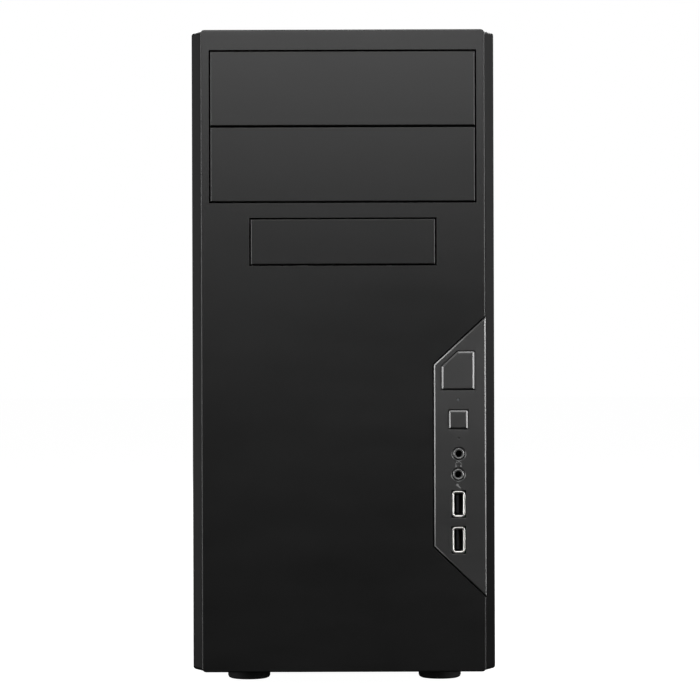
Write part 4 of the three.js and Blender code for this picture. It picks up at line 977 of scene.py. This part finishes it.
# %% Board, slots and sockets
def housing(name, low, high, material, cavities=(), edge=0.3):
    """A block with square or round cavities and softened edges. All its sizes are in millimetres."""
    piece = block(name, mm(low), mm(high))
    for kind, *sizes in cavities:
        if kind == "box":
            cut(piece, block("cavity", mm(sizes[0]), mm(sizes[1])))
        else:
            start, end, radius = sizes
            cut(piece, rod("cavity", mm(start), mm(end), radius * MM, 24))
    soften(piece, edge * MM, 2)
    return show(piece, material, "case")


BOARD_THICKNESS = 1.6
FACE_X = round(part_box("motherboard")[1].x / MM - BOARD_THICKNESS, 2)
board = housing("motherboard_board", (FACE_X, -31, 17), (67.6, 168, 261), solder_mask, [
    ("rod", (60, y, z), (75, y, z), 1.9) for y in (-25, 132, 162) for z in (24, 140, 255)], 0.2)
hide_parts("motherboard")
for i, y in enumerate((26, 36)):
    housing(f"memory_slot_{i + 1}", (58, y - 3.2, 117.9), (FACE_X, y + 3.2, 255), socket_plastic, [
        ("box", (57, y - 0.95, 119.3), (61.5, y + 0.95, 253.7))])
    for end, z in (("low", 114.4), ("high", 253.9)):
        low, high = (50.2, y - 3, z), (FACE_X, y + 3, z + 5.1)
        notch = ("box", (49, y - 1, z - 1), (53, y + 1, z + 7))
        housing(f"memory_latch_{i + 1}_{end}", low, high, latch_nylon, [notch])
for i, (y0, z) in enumerate(((60, 81), (124, 60.6), (124, 40.3))):
    housing(f"expansion_slot_{i + 1}", (55.2, y0, z - 3.6), (FACE_X, 149, z + 3.6), socket_plastic, [
        ("box", (54, y0 + 1.5, z - 0.9), (62, 136, z + 0.9)),
        ("box", (54, 138, z - 0.9), (62, 147.5, z + 0.9))])
for name, y, z, pins, top in (("main_power_socket", (-28, -16), (198, 250), 10, 54.2),
                              ("processor_power_socket", (52, 62), (249, 259), 2, 54.2)):
    step = (z[1] - z[0] - 2) / pins
    housing(name, (top, y[0], z[0]), (FACE_X, y[1], z[1]), latch_nylon, [
        ("box", (50, y[0] + 1.2 + row * (y[1] - y[0] - 2) / 2, z[0] + 1.2 + i * step),
         (62, y[0] - 0.4 + (row + 1) * (y[1] - y[0] - 0.2) / 2, z[0] + 0.4 + (i + 1) * step))
        for row in (0, 1) for i in range(pins)], 0.15)
housing("data_socket", (56.2, -27, 60), (FACE_X, -13, 90), red_sleeve, [
    ("box", (54, -25, 62 + i * 14), (63, -21, 74 + i * 14)) for i in (0, 1)])
housing("panel_header", (58.2, -15, 20), (FACE_X, 5, 25), socket_plastic, [
    ("box", (57, -14, 21), (62, 4, 24))])
housing("processor_socket", (62.2, 74, 179), (FACE_X, 116, 221), latch_nylon, [
    ("box", (61, 77, 182), (63, 113, 218))])
print("board fittings placed")

# %% Chipset cooler and capacitors
cooler = block("chipset_cooler", (52 * MM, -5 * MM, 55 * MM), (FACE_X * MM, 33 * MM, 93 * MM))
for i in range(6):
    z = (58.6 + i * 5.6) * MM
    cut(cooler, block("channel", (50 * MM, -6 * MM, z), (62 * MM, 34 * MM, z + 3.6 * MM)))
soften(cooler, 0.2 * MM, 2)
show(cooler, aluminium, "case")
cans = []
# Each row of capacitors is given by its depth, its lowest height, its pitch and how many stand in it.
CAN_ROWS = ((146, 130, 11, 3), (140, 168, 11, 6), (10, 130, 12, 5), (50, 120, 12, 4))
CAN_PROFILE = ((3.4, FACE_X), (3.6, 65.4), (3.6, 64.6), (3.3, 64.2), (3.6, 63.8), (3.6, 55.6), (3.3, 55.1),
               (2.6, 55))
places = [(y, first + pitch * i) for y, first, pitch, count in CAN_ROWS for i in range(count)]
for y, z in places + [(100, 104), (112, 104)]:
    cans.append(turned("capacitor", mm((0, y, z)), [mm(step) for step in CAN_PROFILE], 20, "X"))
capacitors = gather(*cans)
capacitors.name = "capacitors"
show(capacitors, aluminium, "case")

# %% Rear ports
def jacks(xs, z, radius, depth=8):
    return [("rod", (x, 180, z), (x, 172.6 - depth, z), radius) for x in xs]


PORTS = {
    "keyboard_ports": (34, (241, 256), socket_plastic, jacks((42, 57), 248.5, 5.6)),
    "display_port": (34, (196, 235), nickel, [
        ("box", (37, 168, 200), (45, 180, 231)), ("box", (52, 168, 202), (60, 180, 229))]),
    "network_port": (37, (172, 190), nickel, [
        ("box", (40, 160, 175), (51, 180, 187)), ("box", (54, 160, 174.5), (62.5, 180, 187.5))]),
    "usb_ports": (50, (150, 166), nickel, [
        ("box", (51.5, 160, 152), (56.3, 180, 164)), ("box", (59, 160, 152), (63.8, 180, 164))]),
    "audio_ports": (32, (114, 128), socket_plastic, jacks((38, 48.5, 59), 121, 2.6, 12)),
}
for name, (top, z, material, cavities) in PORTS.items():
    housing(name, (top, 150, z[0]), (FACE_X, 172.6, z[1]), material, cavities)
for name, x, z0, z1 in (("usb_tongue_a", 53.2, 152.4, 163.6), ("usb_tongue_b", 60.7, 152.4, 163.6)):
    housing(name, (x, 161, z0), (x + 1.6, 170.5, z1), grey_nylon, edge=0.2)
for name, low, high in (("display_insert_a", (37, 167, 200), (45, 171.4, 231)),
                        ("display_insert_b", (52, 167, 202), (60, 171.4, 229))):
    rows = [("rod", (low[0] + 2.4 + 3.2 * column, 175, low[2] + 3 + 2.9 * i),
             (low[0] + 2.4 + 3.2 * column, 168.5, low[2] + 3 + 2.9 * i), 0.55)
            for column in (0, 1) for i in range(8)]
    housing(name, low, high, socket_plastic, rows, 0.1)
for name, low, high in (("network_insert_a", (40, 160, 175), (51, 171.8, 187)),
                        ("network_insert_b", (54, 160, 174.5), (62.5, 171.8, 187.5)),
                        ("usb_insert_a", (51.5, 160, 152), (56.3, 171.8, 164)),
                        ("usb_insert_b", (59, 160, 152), (63.8, 171.8, 164))):
    pocket = ("box", (low[0] + 0.5, 161, low[2] + 0.5), (high[0] - 0.5, 175, high[2] - 0.5))
    housing(name, low, high, socket_plastic, [pocket], 0.1)
print("rear ports are open")

# %% [markdown]
# ## Cables
# The solid of each cable is one thick tube. The real thing is a bundle of separate wires between two
# plugs. Each wire is a Bezier curve through the tube's own middle points, set a little to one side, and
# the side turns from point to point, so the wires twist round each other. The curves become meshes at
# the end. The bundle to the front sockets crosses from the case to the bezel, so it is joined to neither
# body.

# %% Wire bundles
def bundle(name, route, count, spread, wire):
    strands = []
    for i in range(count):
        bpy.ops.curve.primitive_bezier_curve_add(location=(0, 0, 0))
        curve = bpy.context.object
        spline = curve.data.splines[0]
        spline.bezier_points.add(len(route) - 2)
        for step, (point, (x, y, z)) in enumerate(zip(spline.bezier_points, route)):
            turn = math.tau * i / count + 0.9 * step
            point.co = (x * MM + spread * math.cos(turn), y * MM, z * MM + spread * math.sin(turn))
            point.handle_left_type = point.handle_right_type = "AUTO"
        curve.data.bevel_depth = wire
        curve.data.bevel_resolution = 3
        curve.data.resolution_u = 8
        curve.data.use_fill_caps = True
        deselect()
        use(curve)
        bpy.ops.object.convert(target="MESH")
        strands.append(bpy.context.object)
    piece = gather(*strands)
    piece.name = name
    return piece


ROUTES = {
    "main_power_cable": ([(50, 33, 284), (50, 26, 283), (50, 18, 276), (47, 11, 262), (39, -4, 243),
                          (32, -16, 231), (33, -22, 225), (40, -22, 224)], 10, 3.3 * MM, 1.0 * MM),
    "processor_power_cable": ([(58, 33, 280), (58, 27, 278), (57, 24, 270), (52, 32, 263.5),
                               (44, 44, 262.5), (36, 54, 261), (35, 57, 256), (44, 57, 254)],
                              4, 1.2 * MM, 0.85 * MM),
    "drive_power_cable": ([(42, 33, 280), (42, 26, 279), (38, 16, 268), (22, 16, 240), (4, 22, 205),
                           (-6, 27, 172), (-8, 30, 156), (-7, 20, 149)], 5, 1.5 * MM, 0.8 * MM),
    "front_panel_cable": ([(64, -151, 105), (64, -140, 104), (64, -122, 92), (63, -96, 62), (60, -66, 36),
                           (54, -40, 25), (46, -18, 22.5), (50, -6, 22.5)], 6, 1.6 * MM, 0.7 * MM),
}
bundles = {node: bundle(node + "_wires", *values) for node, values in ROUTES.items()}
for node in list(ROUTES)[:3]:
    show(bundles[node], cable_sleeve, "case", [node])
wires = dress(bundles["front_panel_cable"], cable_sleeve)
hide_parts("front_panel_cable")
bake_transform(wires)
for name, low, high in (("main_power_plug", (36, -28, 198), (53.8, -16, 250)),
                        ("processor_power_plug", (42, 52, 249), (53.8, 62, 259)),
                        ("drive_power_plug", (-22, 5.4, 144), (8, 23, 152)),
                        ("panel_header_plug", (46, -15, 20), (57.8, 5, 25))):
    housing(name, low, high, cable_sleeve, edge=0.6)
plug = block("front_board_plug", (60 * MM, board_high.y - 8 * MM, 96 * MM),
             (board_low.x - 0.3 * MM, board_high.y - 1 * MM, 114 * MM))
soften(plug, 0.5 * MM, 2)
show(plug, cable_sleeve, "front")
print("cables are", {node: len(piece.data.polygons) for node, piece in bundles.items()})

# %% [markdown]
# ## Screws
# Domed screws hold the power supply and the rear fan. Each is turned with its thread's core behind the
# sheet, and a cross recess is cut into its head.

# %% Screws on the back
def screw_at(name, x, y, z, radius=3.4, height=2.2):
    piece = turned(name, (x * MM, 0, z * MM), [
        (1.0 * MM, (y - 4) * MM), (1.4 * MM, (y - 3.6) * MM), (1.4 * MM, y * MM), (radius * MM, y * MM),
        (radius * MM, (y + 0.6 * height) * MM), (radius * 0.8 * MM, (y + 0.9 * height) * MM),
        (radius * 0.45 * MM, (y + height) * MM)], 24)
    for dx, dz in ((1.8, 0.35), (0.35, 1.8)):
        cut(piece, block("slot", ((x - dx) * MM, (y + 0.9) * MM, (z - dz) * MM),
                         ((x + dx) * MM, (y + 5) * MM, (z + dz) * MM)))
    return show(piece, nickel, "case")


for i, (x, z) in enumerate(((-66.5, 272), (66.5, 272), (-66.5, 352.8), (66.5, 352.8))):
    screw_at(f"supply_screw_{i + 1}", x, 172.05, z)
for i, (dx, dz) in enumerate(((-41, -41), (41, -41), (-41, 41), (41, 41))):
    screw_at(f"fan_screw_{i + 1}", -25 + dx, 172.05, 205 + dz, 3.6, 1.8)
print("screws are in")

# %% [markdown]
# ## The plain solids that stay
# Sheet metal, fan frames, cooler, drive and supply keep their solid. Coincident corners are welded, flat
# areas are merged back into single faces, and the sharp edges are rounded by what the real process leaves:
# half the thickness of the sheet at a bend or a punched edge, a little more on cast and moulded pieces.

# %% Broken edges
EDGE_MM = {"black_painted_steel": 0.4, "zinc_coated_steel": 0.25, "nickel_plated_steel": 0.2,
           "aluminium": 0.3, "circuit_board": 0.12, "cable_sleeve": 0.4, "red_cable": 0.4,
           "matt_black_plastic": 0.4}
for name, node in nodes.items():
    width = EDGE_MM.get(slot_of[name])
    if width is None or node.hide_render:
        continue
    weld = node.modifiers.new("weld", "WELD")
    weld.merge_threshold = 0.01 * MM
    flat = node.modifiers.new("flat", "DECIMATE")
    flat.decimate_type = "DISSOLVE"
    flat.angle_limit = math.radians(1)
    edge = node.modifiers.new("edge", "BEVEL")
    edge.width = width * MM
    edge.segments = 2
    edge.limit_method = "ANGLE"
    edge.angle_limit = math.radians(40)
    edge.harden_normals = True
print("edges broken")
